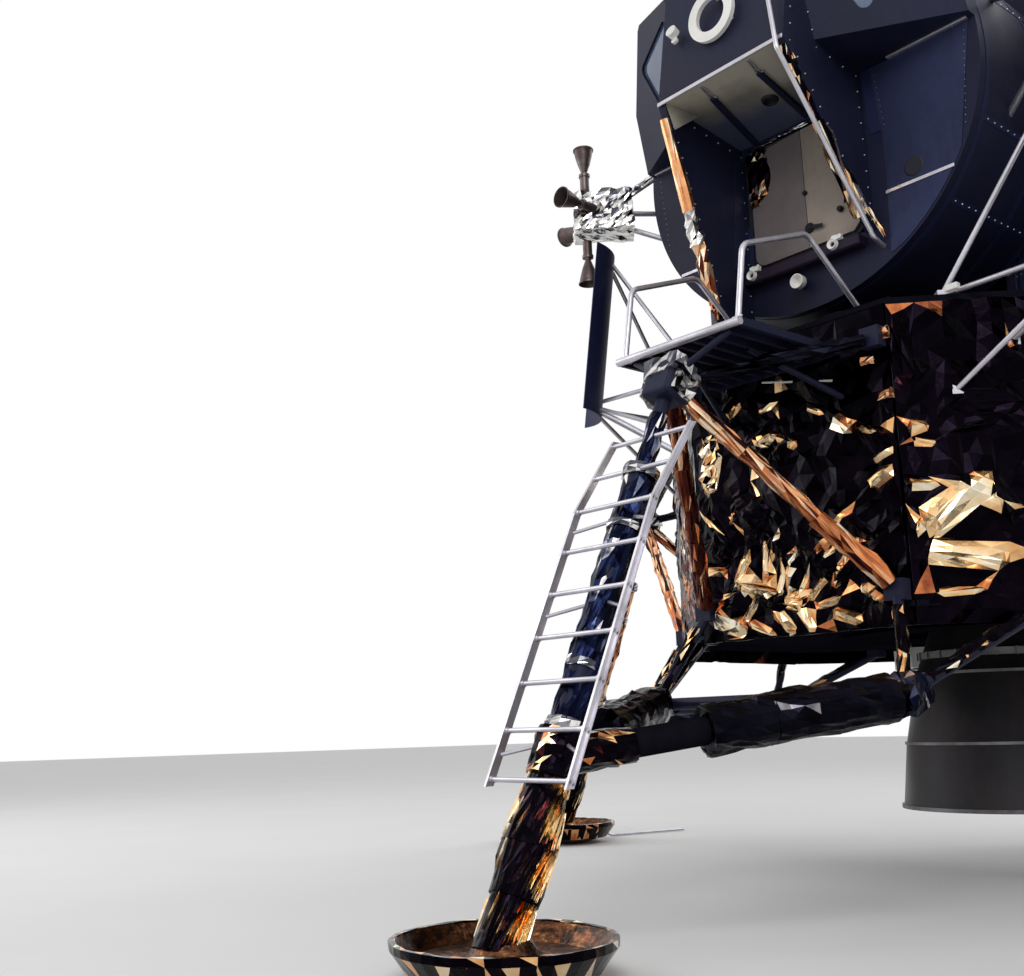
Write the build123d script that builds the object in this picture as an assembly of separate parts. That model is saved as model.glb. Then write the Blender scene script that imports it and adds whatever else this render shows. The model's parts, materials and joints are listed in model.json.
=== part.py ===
"""Lunar module standing on its landing gear, as an assembly of separate pieces.

Millimetres, +Z up. The origin is on the ground under the centre line. The front, with hatch,
porch and ladder, faces -Y. +X is the crew's left (port) and -X their right (starboard).
"""
from build123d import *
import math
import os

# Descent stage body: an octagon of four square tank bays and four three-sided bays
BODY_BOTTOM = 1575
DECK_TOP = 3226
DECK_THICK = 30
OCTAGON_FLAT = 2060
OCTAGON_SIDE = 686
BAY_FACE = 2055
BAY_HALF = 684
CORE_HALF = 690
CORE_CORNER = 2049
BAY_BOTTOM = BODY_BOTTOM + DECK_THICK
BAY_TOP = DECK_TOP - DECK_THICK

# Equipment pallet and equipment bay in the three-sided bays
POCKET_HALF_WIDTH = 550
POCKET_DEPTH = 380
POCKET_BOTTOM = 1640
PALLET_POCKET_TOP = 2620
DOOR_POCKET_TOP = 2900
POCKET_GAP = 10
DOOR_THICK = 25
HINGE_PIN = 6
HINGE_KNUCKLE = 13
PALLET_HINGE = POCKET_BOTTOM + 20
DOOR_HINGE = DOOR_POCKET_TOP - 20

# Landing gear: one leg in the plane x = 0 at -Y, repeated every quarter turn
PAD_CENTRE = 4242
PAD_RADIUS = 470
FOOT_JOINT = Vector(0, -PAD_CENTRE, 200)
APEX = Vector(0, -3030, 2750)
STRUT_AXIS = (APEX - FOOT_JOINT).normalized()
STRUT_LEAN = math.degrees(math.atan2(APEX.Y - FOOT_JOINT.Y, APEX.Z - FOOT_JOINT.Z))
PISTON_RADIUS = 65
CYLINDER_RADIUS = 75
NECK_RADIUS = 40
CYLINDER_START = 690
CYLINDER_END = 2290
KNEE = 760
COLLAR_RADIUS = 95
COLLAR_HALF = 65
BRACE_CYLINDER_RADIUS = 105
BRACE_PISTON_RADIUS = 65
BRACE_SHOULDER = 150
TRUSS_END = Vector(800, -2390, 1130)
TRUSS_BALL_RADIUS = 85
LUG = 110
LUG_DEEP = 80
UPPER_LUG = Vector(628, -BAY_FACE - LUG_DEEP / 2, 3010)
LOWER_LUG = Vector(628, -BAY_FACE - LUG_DEEP / 2, 1662)
FOOT_LUG = 110
FOOT_LUG_HIGH = 60
TRUSS_FOOT = Vector(1100, -1560, BODY_BOTTOM)

# Ladder on the front leg
RUNG_COUNT = 9
LOWEST_RUNG = 795
RUNG_SPACING = 212
LADDER_HALF_WIDTH = 263
LADDER_OFFSET = 105
LADDER_BEND = 11
RAIL_OVERHANG = 30
RAIL_DEPTH = 46
RAIL_THICK = 14
RUNG_RADIUS = 12

# Porch in front of the hatch
PORCH_HALF_WIDTH = 425
PORCH_FRONT = -2950
PORCH_BACK = -2075
PORCH_TOP = 3015
PORCH_SKIN = 8
PORCH_THICK = 42
HOOP_RADIUS = 16
HOOP_SIDE = 395
PORCH_LUG = 330

# Ascent stage: a lying cabin cylinder with its hatch face, and the bays behind it
CABIN_RADIUS = 1200
CABIN_WALL = 50
CABIN_CENTRE = 4650
CABIN_BACK = -690
FACE_JOIN = -1650
HATCH_PLANE = FACE_JOIN - CABIN_WALL
HATCH_HALF = 406
HATCH_BOTTOM = 3810
HATCH_TOP = HATCH_BOTTOM + 2 * HATCH_HALF
HATCH_GAP = 6
MID_HALF = 760
MID_BOTTOM = 3500
MID_TOP = 5730
TUNNEL_TOP = 6170
TUNNEL_RADIUS = 460
TUNNEL_WALL = 40
OVERHEAD_RADIUS = 390
DOCKING_WINDOW_X = (480, 610)
DOCKING_WINDOW_Y = (-1420, -1110)

# Engines
GIMBAL_HEIGHT = 2160
NOZZLE_EXIT = 450
NOZZLE_RADIUS = 640

# Thruster clusters
CLUSTER_OFFSET = 1700
CLUSTER_HEIGHT = 4700
CLUSTER_BOX = (430, 290, 330)
THRUSTER_RADIUS = 73
THRUSTER_SHIFT = 125
VERTICAL_REACH = 530
SIDE_REACH = 420

QUARTERS = (0, 90, 180, 270)


def save(name, *solids):
    """Write one node from its solids."""
    export_step(Compound(children=list(solids)), f"parts/{name}.step")


def block(x, y, z):
    """A box from its ranges along X, Y and Z."""
    size = [b - a for a, b in (x, y, z)]
    middle = [(a + b) / 2 for a, b in (x, y, z)]
    return Pos(*middle) * Box(*size)


def along(start, end):
    """A place at start whose Z axis points to end."""
    return Plane(origin=start, z_dir=end - start).location


def tube(start, end, radius):
    """A round bar between two points."""
    start, end = Vector(start), Vector(end)
    bar = Cylinder(radius, (end - start).length, align=(Align.CENTER, Align.CENTER, Align.MIN))
    return along(start, end) * bar


def ball(centre, radius):
    return Pos(*centre) * Sphere(radius)


def turned(profile):
    """A solid of revolution about Z from (radius, height) points."""
    wire = Polyline([(radius, 0, height) for radius, height in profile], close=True)
    return revolve(make_face(wire), Axis.Z)


def prism(points, low, high):
    """A vertical prism from (x, y) points."""
    outline = make_face(Polyline([(x, y, low) for x, y in points], close=True))
    return extrude(outline, high - low, dir=(0, 0, 1))


def slab(points, x_low, x_high):
    """A prism along X from (y, z) points."""
    outline = make_face(Polyline([(x_low, y, z) for y, z in points], close=True))
    return extrude(outline, x_high - x_low, dir=(1, 0, 0))


def crosswise(points, y_low, y_high):
    """A prism along Y from (x, z) points."""
    outline = make_face(Polyline([(x, y_low, z) for x, z in points], close=True))
    return extrude(outline, y_high - y_low, dir=(0, 1, 0))


def main_solid(shape):
    """The largest solid of a cut shape."""
    return max(shape.solids(), key=lambda solid: solid.volume)


def quarters(*solids):
    """The same solids at each of the four legs or sides."""
    return [Rot(0, 0, turn) * solid for turn in QUARTERS for solid in solids]


def mirrored(point):
    return Vector(-point.X, point.Y, point.Z)


def hoop(points, bend, radius):
    """A bent tube through points, with round corners."""
    path = FilletPolyline([tuple(point) for point in points], radius=bend)
    start, ahead = Vector(points[0]), Vector(points[1])
    section = Plane(origin=start, z_dir=ahead - start) * Circle(radius)
    return sweep(section, path=path)


# Descent stage body
def octagon(flat, side):
    return [(side, -flat), (flat, -side), (flat, side), (side, flat),
            (-side, flat), (-flat, side), (-flat, -side), (-side, -flat)]


def descent_decks():
    upper = prism(octagon(OCTAGON_FLAT, OCTAGON_SIDE), BAY_TOP, DECK_TOP)
    lower = prism(octagon(OCTAGON_FLAT, OCTAGON_SIDE), BODY_BOTTOM, BAY_BOTTOM)
    lower -= block((-CORE_HALF, CORE_HALF), (-CORE_HALF, CORE_HALF), (BODY_BOTTOM, BAY_BOTTOM))
    return upper, lower


def tank_bay():
    return block((-BAY_HALF, BAY_HALF), (-BAY_FACE, -CORE_HALF), (BAY_BOTTOM, BAY_TOP))


# A three-sided bay lies along +X, its slanted outer face upright, and is turned to its corner
INNER_REACH = CORE_HALF * math.sqrt(2)
OUTER_REACH = (CORE_HALF + CORE_CORNER) / math.sqrt(2)
OUTER_HALF = (CORE_CORNER - CORE_HALF) / math.sqrt(2)
HINGE_REACH = OUTER_REACH - 20
CORNER_TURNS = {"port_aft": 45, "starboard_aft": 135, "starboard_front": 225, "port_front": 315}


def corner_bay(pocket_top=None, pin_height=None):
    """A solid bay, or one with a pocket across which its hinge pin runs."""
    bay = prism([(INNER_REACH, 0), (OUTER_REACH, -OUTER_HALF), (OUTER_REACH, OUTER_HALF)],
                BAY_BOTTOM, BAY_TOP)
    if pocket_top:
        bay -= block((OUTER_REACH - POCKET_DEPTH, OUTER_REACH + 1),
                     (-POCKET_HALF_WIDTH, POCKET_HALF_WIDTH), (POCKET_BOTTOM, pocket_top))
        bay += hinge_line(pin_height, HINGE_PIN, POCKET_HALF_WIDTH + 1)
    return bay


def hinge_line(height, radius, half_length):
    """A round bar on the hinge axis of a pocket's pallet or door."""
    return tube((HINGE_REACH, -half_length, height), (HINGE_REACH, half_length, height), radius)


def at_corner(solid, corner):
    return Rot(0, 0, CORNER_TURNS[corner]) * solid


def equipment_pallet():
    """The fold-down pallet, its top cut back so that it swings out past the pocket's lintel."""
    half = POCKET_HALF_WIDTH - POCKET_GAP
    front, back = OUTER_REACH - 7, OUTER_REACH - POCKET_DEPTH + POCKET_GAP
    low = PALLET_HINGE + 5
    body = crosswise([(back, low), (front, low), (front, low + 940), (back, low + 850)], -half, half)
    body += hinge_line(PALLET_HINGE, HINGE_KNUCKLE, half)
    return body - hinge_line(PALLET_HINGE, HINGE_PIN + 0.5, half + 1)


def equipment_door():
    """The door of the equipment bay, hung from a hinge along its top edge."""
    half = POCKET_HALF_WIDTH - POCKET_GAP
    body = block((OUTER_REACH - DOOR_THICK - 7, OUTER_REACH - 7), (-half, half),
                 (POCKET_BOTTOM + POCKET_GAP, DOOR_HINGE))
    body += hinge_line(DOOR_HINGE, HINGE_KNUCKLE, half)
    return body - hinge_line(DOOR_HINGE, HINGE_PIN + 0.5, half + 1)


# Landing radar under the starboard rear bay, on a cross pin at its inner end
RADAR_HINGE_REACH = 1100
RADAR_HINGE_HEIGHT = 1510
RADAR_HALF_WIDTH = 255


def landing_radar():
    box = block((RADAR_HINGE_REACH - 20, RADAR_HINGE_REACH + 500), (-RADAR_HALF_WIDTH, RADAR_HALF_WIDTH),
                (RADAR_HINGE_HEIGHT - 115, RADAR_HINGE_HEIGHT + 35))
    start = (RADAR_HINGE_REACH, -RADAR_HALF_WIDTH - 1, RADAR_HINGE_HEIGHT)
    end = (RADAR_HINGE_REACH, RADAR_HALF_WIDTH + 1, RADAR_HINGE_HEIGHT)
    return box - tube(start, end, 12.5)


def radar_brackets():
    """Two ears under the deck, joined by the pin that the radar tips on."""
    ear = RADAR_HALF_WIDTH + 8
    solid = tube((RADAR_HINGE_REACH, -ear, RADAR_HINGE_HEIGHT), (RADAR_HINGE_REACH, ear, RADAR_HINGE_HEIGHT), 12)
    for side in (1, -1):
        y = (side * ear, side * (ear + 20))
        solid += block((RADAR_HINGE_REACH - 40, RADAR_HINGE_REACH + 40), (min(y), max(y)),
                       (RADAR_HINGE_HEIGHT - 30, BODY_BOTTOM))
    return solid


# Descent engine
def base_shield():
    shield = block((-CORE_HALF, CORE_HALF), (-CORE_HALF, CORE_HALF), (BODY_BOTTOM, BAY_BOTTOM))
    return shield - Pos(0, 0, BODY_BOTTOM) * Cylinder(560, 200)


def descent_nozzle():
    wall = 12
    outer = [(NOZZLE_RADIUS, NOZZLE_EXIT), (590, 850), (490, 1300), (335, 1700), (170, 1960)]
    inner = [(radius - wall, height) for radius, height in reversed(outer)]
    return turned(outer + inner)


def descent_engine():
    throat, chamber = 1960, 2060
    engine = turned([(0, throat), (170, throat), (150, chamber - 40), (235, chamber + 60),
                     (235, 2520), (290, 2560), (290, 2640), (120, 2700), (0, 2700)])
    pin_reach = RING_OUTER - 5
    return engine + tube((-pin_reach, 0, GIMBAL_HEIGHT), (pin_reach, 0, GIMBAL_HEIGHT), TRUNNION)


RING_INNER = 320
RING_OUTER = 360
TRUNNION = 25


def gimbal_ring():
    ring = Pos(0, 0, GIMBAL_HEIGHT) * (Cylinder(RING_OUTER, 70) - Cylinder(RING_INNER, 80))
    for turn in (0, 180):
        hole = tube((0, RING_INNER - 20, GIMBAL_HEIGHT), (0, RING_OUTER + 20, GIMBAL_HEIGHT), TRUNNION + 0.5)
        ring -= Rot(0, 0, turn) * hole
        ring -= Rot(0, 0, turn + 90) * hole
    return ring


def engine_mounts():
    """The fixed pins that carry the ring, along Y, on brackets on the bay walls."""
    mounts = []
    for turn in (90, 270):
        pin = tube((RING_INNER + 5, 0, GIMBAL_HEIGHT), (CORE_HALF, 0, GIMBAL_HEIGHT), TRUNNION)
        foot = block((CORE_HALF - 200, CORE_HALF), (-60, 60), (GIMBAL_HEIGHT - 60, GIMBAL_HEIGHT + 60))
        mounts.append(Rot(0, 0, turn) * (pin + foot))
    return mounts


# Landing gear
def strut_point(distance):
    return FOOT_JOINT + STRUT_AXIS * distance


def primary_cylinder():
    barrel = tube(strut_point(CYLINDER_START), strut_point(CYLINDER_END), CYLINDER_RADIUS)
    neck = tube(strut_point(CYLINDER_END - 10), APEX, NECK_RADIUS)
    collar = tube(strut_point(KNEE - COLLAR_HALF), strut_point(KNEE + COLLAR_HALF), COLLAR_RADIUS)
    return barrel + neck + collar


def apex_block():
    place = Plane(origin=APEX, x_dir=(1, 0, 0), z_dir=STRUT_AXIS).location
    return place * fillet(Box(200, 180, 220).edges(), 30)


def primary_piston():
    rod = tube(FOOT_JOINT, strut_point(CYLINDER_START), PISTON_RADIUS)
    return rod + ball(FOOT_JOINT, 80)


def strut_wrap():
    """The blanket wrapped round the lower strut, from the pad's joint to the knee."""
    # columns: outer radius, distance up the strut
    stations = [(95, 110), (128, 180), (122, 300), (140, 420), (124, 520), (77, 590), (77, 655)]
    bore = [(PISTON_RADIUS, 655), (PISTON_RADIUS, 110)]
    return Plane(origin=FOOT_JOINT, x_dir=(1, 0, 0), z_dir=STRUT_AXIS).location * turned(stations + bore)


def footpad():
    dish = turned([(0, 0), (230, 0), (400, 60), (PAD_RADIUS, 150), (PAD_RADIUS, 175), (452, 175),
                   (390, 95), (200, 62), (150, 120), (110, 170), (0, 170)])
    return Pos(*FOOT_JOINT) * (Pos(0, 0, -FOOT_JOINT.Z) * dish - Sphere(80))


def secondary_struts():
    """The two braces of a leg: each a thick outer cylinder and the piston that slides in it."""
    knee = strut_point(KNEE)
    cylinders, pistons = [], []
    for end in (TRUSS_END, mirrored(TRUSS_END)):
        middle = knee + (end - knee) * 0.42
        shoulder = end - (end - knee).normalized() * BRACE_SHOULDER
        neck = tube(shoulder, end, NECK_RADIUS) - ball(end, TRUSS_BALL_RADIUS)
        cylinders.append(tube(middle, shoulder, BRACE_CYLINDER_RADIUS) + neck)
        pistons.append(tube(knee, middle, BRACE_PISTON_RADIUS) - primary_cylinder())
    return cylinders, pistons


def lug_box(centre):
    return Pos(*centre) * Box(LUG, LUG_DEEP, LUG)


def foot_box(centre):
    return Pos(centre.X, centre.Y, centre.Z - FOOT_LUG_HIGH / 2) * Box(FOOT_LUG, FOOT_LUG, FOOT_LUG_HIGH)


def leg_fittings():
    """Lugs on the body and the block at the apex of the outrigger."""
    lugs = [apex_block() - primary_cylinder()]
    for side in (Vector, mirrored):
        lugs += [lug_box(side(UPPER_LUG)), lug_box(side(LOWER_LUG)), foot_box(side(TRUSS_FOOT))]
    return lugs


def cut_all(solid, cutters):
    for cutter in cutters:
        solid -= cutter
    return solid


def outrigger_tubes():
    tubes = []
    for lug, radius in ((UPPER_LUG, 34), (LOWER_LUG, 44)):
        for end in (lug, mirrored(lug)):
            tubes.append(main_solid(cut_all(tube(APEX, end, radius), [apex_block(), lug_box(end)])))
    return tubes


def deployment_truss():
    """The frame that carries a leg's two secondary struts: a crossbar and two tubes a side."""
    ends = truss_ends()
    tubes = [tube(mirrored(TRUSS_END), TRUSS_END, 34) - ends[0] - ends[1]]
    for side, joint in zip((Vector, mirrored), ends):
        end, lug, foot = side(TRUSS_END), side(LOWER_LUG), side(TRUSS_FOOT)
        tubes.append(tube(end, lug - Vector(0, 0, 20), 28) - lug_box(lug) - joint)
        tubes.append(tube(end, foot - Vector(0, 0, FOOT_LUG_HIGH / 2), 30) - foot_box(foot) - joint)
    return [main_solid(bar) for bar in tubes]


def truss_ends():
    return [Pos(*side(TRUSS_END)) * Rot(20, 20, 40) * Sphere(TRUSS_BALL_RADIUS) for side in (Vector, mirrored)]


def contact_probe():
    """A landing probe, bent flat on the ground under its pad's rim."""
    points = [(-PAD_CENTRE, 380, 120), (-PAD_CENTRE, 620, 16), (-PAD_CENTRE + 120, 1500, 16)]
    rod = hoop([Vector(*point) for point in points], 120, 13)
    return main_solid(rod - Rot(0, 0, -90) * footpad())


# Ladder
def ladder_y(height):
    """The ladder's line in side view: parallel to the strut, then leaning in more near the top."""
    lean = math.tan(math.radians(STRUT_LEAN))
    bend_height = LOWEST_RUNG + (RUNG_COUNT - 3) * RUNG_SPACING
    straight = FOOT_JOINT.Y - LADDER_OFFSET / math.cos(math.radians(STRUT_LEAN))
    y = straight + (min(height, bend_height) - FOOT_JOINT.Z) * lean
    if height > bend_height:
        y += (height - bend_height) * math.tan(math.radians(STRUT_LEAN + LADDER_BEND))
    return y


def rung_heights():
    """Heights of the rungs, evenly spaced along the rails and so closer in height over the bend."""
    squeeze = math.cos(math.radians(STRUT_LEAN + LADDER_BEND)) / math.cos(math.radians(STRUT_LEAN))
    straight = [LOWEST_RUNG + step * RUNG_SPACING for step in range(RUNG_COUNT - 2)]
    return straight + [straight[-1] + step * RUNG_SPACING * squeeze for step in (1, 2)]


def rail_outline(depth):
    heights = rung_heights()
    levels = [heights[0] - RAIL_OVERHANG, heights[-3], heights[-1] + RAIL_OVERHANG]
    front = [(ladder_y(z) - depth / 2, z) for z in levels]
    back = [(ladder_y(z) + depth / 2, z) for z in reversed(levels)]
    return front + back


def ladder_rails():
    rails = []
    for side in (1, -1):
        inner = side * (LADDER_HALF_WIDTH - RAIL_THICK / 2)
        outer = side * (LADDER_HALF_WIDTH + RAIL_THICK / 2)
        web = side * (LADDER_HALF_WIDTH - RAIL_THICK / 2 + 5)
        rail = slab(rail_outline(RAIL_DEPTH), min(inner, outer), max(inner, outer))
        rail -= slab(rail_outline(RAIL_DEPTH - 12), min(web, outer), max(web, outer))
        rails.append(rail)
    return rails


def ladder_rungs():
    """Round rungs; the top two meet the strut and stop at it on both sides."""
    inside = LADDER_HALF_WIDTH - RAIL_THICK / 2
    rungs = []
    for z in rung_heights():
        rung = tube((-inside, ladder_y(z), z), (inside, ladder_y(z), z), RUNG_RADIUS)
        rungs += (rung - primary_cylinder()).solids()
    return rungs


def ladder_brackets():
    """Pairs of thin stays from the rails back to the strut."""
    inside = LADDER_HALF_WIDTH - RAIL_THICK / 2
    stays = []
    for step in (0.5, 3.5, 5.5):
        z = LOWEST_RUNG + step * RUNG_SPACING
        for side in (1, -1):
            start = Vector(side * inside, ladder_y(z) + RAIL_DEPTH / 4, z)
            behind = strut_point((z - FOOT_JOINT.Z + 60) / STRUT_AXIS.Z)
            stays.append(main_solid(cut_all(tube(start, behind, 9), [primary_cylinder()] + ladder_rails())))
    return stays


# Porch
def porch():
    """A ribbed deck with a round front bar and two lugs on the body."""
    x = (-PORCH_HALF_WIDTH, PORCH_HALF_WIDTH)
    under = (PORCH_TOP - PORCH_THICK, PORCH_TOP - PORCH_SKIN)
    deck = block(x, (PORCH_FRONT, PORCH_BACK), (PORCH_TOP - PORCH_SKIN, PORCH_TOP))
    rib_count, rib_half = 9, 12
    reach = PORCH_HALF_WIDTH - rib_half
    for index in range(rib_count):
        centre = reach * (2 * index / (rib_count - 1) - 1)
        deck += block((centre - rib_half, centre + rib_half), (PORCH_FRONT, PORCH_BACK), under)
    deck += block(x, (PORCH_BACK - 30, PORCH_BACK), under)
    bar_height = PORCH_TOP - PORCH_THICK / 2
    deck += tube((x[0], PORCH_FRONT, bar_height), (x[1], PORCH_FRONT, bar_height), PORCH_THICK / 2)
    for centre in (-PORCH_LUG, PORCH_LUG):
        deck += block((centre - 30, centre + 30), (PORCH_BACK, -BAY_FACE), (under[0], PORCH_TOP))
    return deck


def porch_rails():
    """A hoop each side, from the porch's front bar over and down to the edge of the deck."""
    rails = []
    for x in (HOOP_SIDE, -HOOP_SIDE):
        # columns: y, z
        route = [(PORCH_FRONT + 25, PORCH_TOP - 10), (-2845, 3440), (-2270, 3645), (-1710, DECK_TOP - 10)]
        rail = hoop([Vector(x, y, z) for y, z in route], 90, HOOP_RADIUS)
        rail -= block((-500, 500), (-1900, -1600), (DECK_TOP - 60, DECK_TOP))
        rail -= block((-500, 500), (PORCH_FRONT - 60, PORCH_BACK), (PORCH_TOP - 60, PORCH_TOP))
        rails.append(main_solid(rail))
    return rails


def porch_struts():
    """Braces from the apex fitting and from the front of the body up to the porch."""
    floor = PORCH_TOP - PORCH_THICK
    above = block((-500, 500), (PORCH_FRONT - 60, PORCH_BACK), (floor, floor + 90))
    inside = block((-500, 500), (-BAY_FACE, -BAY_FACE + 90), (floor - 400, floor))
    struts = []
    for side in (1, -1):
        top = (side * PORCH_LUG, PORCH_FRONT + 40, floor)
        struts.append(tube(top, (side * 60, APEX.Y + 20, APEX.Z + 60), 18) - apex_block() - above)
        knee, foot = (side * 200, -2600, floor), (side * 400, -BAY_FACE + 10, floor - 240)
        struts.append(main_solid(tube(knee, foot, 18) - above - inside))
    return struts


# Plume deflectors under the thrusters, built along +X and turned to their corners
DEFLECTOR_TOP = Vector(2335, 0, 4360)
DEFLECTOR_BOTTOM = Vector(2485, 0, 3150)
DEFLECTOR_RADIUS = 380
DEFLECTOR_THICK = 8
DEFLECTOR_HALF_ANGLE = 47
DEFLECTOR_TUBE = 15
DECK_FOOT_SIDE = 60
DECK_FOOT_REACH = 1860


def deflector():
    """A trough whose hollow side faces out and up."""
    length = (DEFLECTOR_TOP - DEFLECTOR_BOTTOM).length
    low = (Align.CENTER, Align.CENTER, Align.MIN)
    ring = Cylinder(DEFLECTOR_RADIUS, length, align=low)
    ring -= Cylinder(DEFLECTOR_RADIUS - DEFLECTOR_THICK, length, align=low)
    edge = DEFLECTOR_RADIUS * math.tan(math.radians(DEFLECTOR_HALF_ANGLE)) * 1.1
    wedge = prism([(0, 0), (-DEFLECTOR_RADIUS * 1.1, -edge), (-DEFLECTOR_RADIUS * 1.1, edge)], 0, length)
    trough = Pos(DEFLECTOR_RADIUS, 0, 0) * (ring & wedge)
    up = (DEFLECTOR_TOP - DEFLECTOR_BOTTOM).normalized()
    place = Plane(origin=DEFLECTOR_BOTTOM, x_dir=Vector(up.Z, 0, -up.X), z_dir=up)
    return place.location * trough


def deflector_struts(low_foot=2700):
    """Tubes from feet on the deck's edge and on the body's side to the back of the trough."""
    pads, bars = [], []
    on_deck, on_side = (DECK_FOOT_SIDE, DECK_FOOT_SIDE, 44), (24, DECK_FOOT_SIDE, DECK_FOOT_SIDE)
    # columns: foot reach, foot side, foot height, foot size, share of the trough's height, side there
    table = ((DECK_FOOT_REACH, 640, DECK_TOP + 22, on_deck, 0.93, 70),
             (DECK_FOOT_REACH, 640, DECK_TOP + 22, on_deck, 0.08, 110),
             (OUTER_REACH + 12, 330, 2950, on_side, 0.05, 60),
             (OUTER_REACH + 12, 640, low_foot, on_side, 0.03, 110))
    for side in (1, -1):
        for row, (reach, across, height, size, share, spread) in enumerate(table):
            foot = Vector(reach, side * across, height)
            pad = Pos(*foot) * Box(*size)
            end = DEFLECTOR_BOTTOM + (DEFLECTOR_TOP - DEFLECTOR_BOTTOM) * share
            end = Vector(end.X + 10, side * spread, end.Z)
            bars.append(main_solid(cut_all(tube(foot, end, DEFLECTOR_TUBE), [deflector(), pad])))
            if row:
                pads.append(pad)
    return pads + bars


# Ascent stage cabin. The round bulkhead holds the hatch; over it a hollow brow with the two
# windows leans out, and walls either side of the hatch carry the roof of the entry recess.
BROW_LEVEL = 4790
# columns: x, z of the brow's outline in front view, port half from the bottom up
BROW_OUTLINE = [(1190, BROW_LEVEL), (1170, 5200), (890, 5620), (430, 5840)]
BROW_REACH = -2600
RECESS_HALF = 418
RECESS_WALL = 50
# columns: y, z in side view
ROOF_FRONT = (-2437, 4761)
ROOF_BACK = (HATCH_PLANE, 4661)
NOSE_TOP = (-2300, 5560)
BROW_TOP_BACK = (-1700, 5850)
UNDERSIDE_FRONT = (-2010, 4830)
WALL_FOOT = {1: (-1720, 3790), -1: (-2021, 3442)}
# the port window's corners: upper inner, upper outer, lower
WINDOW_CORNERS = (Vector(500, -2280, 5480), Vector(970, -2020, 5400), Vector(740, -2010, 4890))
WINDOW_ROUND = 45
PANE_THICK = 12


def barrel(radius, y_low, y_high):
    """A cylinder lying along Y on the cabin's centre line."""
    return tube((0, y_low, CABIN_CENTRE), (0, y_high, CABIN_CENTRE), radius)


def cabin_shell():
    """The round wall of the cabin and its rear bulkhead, with the way through to the bay behind."""
    outer = barrel(CABIN_RADIUS, FACE_JOIN, CABIN_BACK)
    inner = barrel(CABIN_RADIUS - CABIN_WALL, FACE_JOIN - 1, CABIN_BACK - CABIN_WALL)
    way = MID_HALF - CABIN_WALL
    doorway = block((-way, way), (CABIN_BACK - CABIN_WALL - 1, CABIN_BACK + 1),
                    (MID_BOTTOM + 300, MID_TOP - 200))
    shell = outer - inner - doorway
    return shell - block(DOCKING_WINDOW_X, DOCKING_WINDOW_Y, (CABIN_CENTRE, CABIN_CENTRE + 2 * CABIN_RADIUS))


def beyond(point, normal, inset=0):
    """The space outside a plane, as a big block; a positive inset moves the plane inwards."""
    normal = normal.normalized()
    size = 4000
    return Plane(origin=point - normal * inset, z_dir=normal).location * Box(
        size, size, size, align=(Align.CENTER, Align.CENTER, Align.MIN))


def across_plane(first, second):
    """A plane along X through two (y, z) points of the side view: a point on it and its normal."""
    run, rise = second[0] - first[0], second[1] - first[1]
    return Vector(0, *first), Vector(0, -rise, run)


def window_plane(side):
    corners = [Vector(side * corner.X, corner.Y, corner.Z) for corner in WINDOW_CORNERS]
    normal = (corners[1] - corners[0]).cross(corners[2] - corners[0])
    return corners[0], normal if normal.Y < 0 else normal * -1


FRONT_PLANE = across_plane(ROOF_FRONT, NOSE_TOP)
ROOF_PLANE = across_plane(ROOF_BACK, ROOF_FRONT)
TOP_PLANE = across_plane(NOSE_TOP, BROW_TOP_BACK)
UNDERSIDE_PLANE = across_plane((HATCH_PLANE, BROW_LEVEL), UNDERSIDE_FRONT)


def outward(plane, up):
    """The plane with its normal turned to point up or down."""
    point, normal = plane
    return point, normal if normal.Z * up > 0 else normal * -1


def trimmed(solid, planes, inset):
    for point, normal in planes:
        solid -= beyond(point, normal, inset)
    return solid


def brow(inset):
    """The leaning upper part with the windows, shrunk on all sides by the inset."""
    outline = BROW_OUTLINE + [(-x, z) for x, z in reversed(BROW_OUTLINE)]
    body = crosswise(outline, BROW_REACH, FACE_JOIN + (1 if inset else 0))
    if inset:
        body = offset_prism(outline, inset)
    front_point, front_normal = FRONT_PLANE
    front_normal = front_normal if front_normal.Y < 0 else front_normal * -1
    planes = [(front_point, front_normal), outward(TOP_PLANE, 1), outward(UNDERSIDE_PLANE, -1),
              window_plane(1), window_plane(-1)]
    return trimmed(body, planes, inset)


def offset_prism(outline, inset):
    face = make_face(Polyline([(x, BROW_REACH, z) for x, z in outline], close=True))
    inner = offset(face, amount=-inset, kind=Kind.INTERSECTION)
    return extrude(inner, FACE_JOIN + 1 - BROW_REACH, dir=(0, 1, 0))


def nose(inset):
    """The box between the windows, over the entry recess."""
    half = RECESS_HALF + RECESS_WALL - inset
    body = block((-half, half), (BROW_REACH, HATCH_PLANE + 10), (ROOF_BACK[1], BROW_TOP_BACK[1]))
    front_point, front_normal = FRONT_PLANE
    front_normal = front_normal if front_normal.Y < 0 else front_normal * -1
    return trimmed(body, [(front_point, front_normal), outward(TOP_PLANE, 1), outward(ROOF_PLANE, -1)], inset)


def recess_wall(side):
    """The wall at one side of the hatch, its front edge leaning back from the roof to its foot."""
    foot_y, foot_z = WALL_FOOT[side]
    x = sorted((side * RECESS_HALF, side * (RECESS_HALF + RECESS_WALL)))
    outline = [(HATCH_PLANE + 1, foot_z), (foot_y, foot_z), ROOF_FRONT, (HATCH_PLANE + 1, ROOF_FRONT[1])]
    return slab(outline, *x)


def window_prism(side, outside, inside):
    """The window's rounded triangle, from outside its plane to inside it."""
    corners = [Vector(side * corner.X, corner.Y, corner.Z) for corner in WINDOW_CORNERS]
    point, normal = window_plane(side)
    normal = normal.normalized()
    sheet = Plane(origin=point, x_dir=corners[1] - corners[0], z_dir=normal)
    flat = [sheet.to_local_coords(corner) for corner in corners]
    sketch = make_face(Polyline([(corner.X, corner.Y) for corner in flat], close=True))
    sketch = fillet(sketch.vertices(), WINDOW_ROUND)
    return sheet.offset(-inside).location * extrude(sketch, outside + inside, dir=(0, 0, 1))


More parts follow.
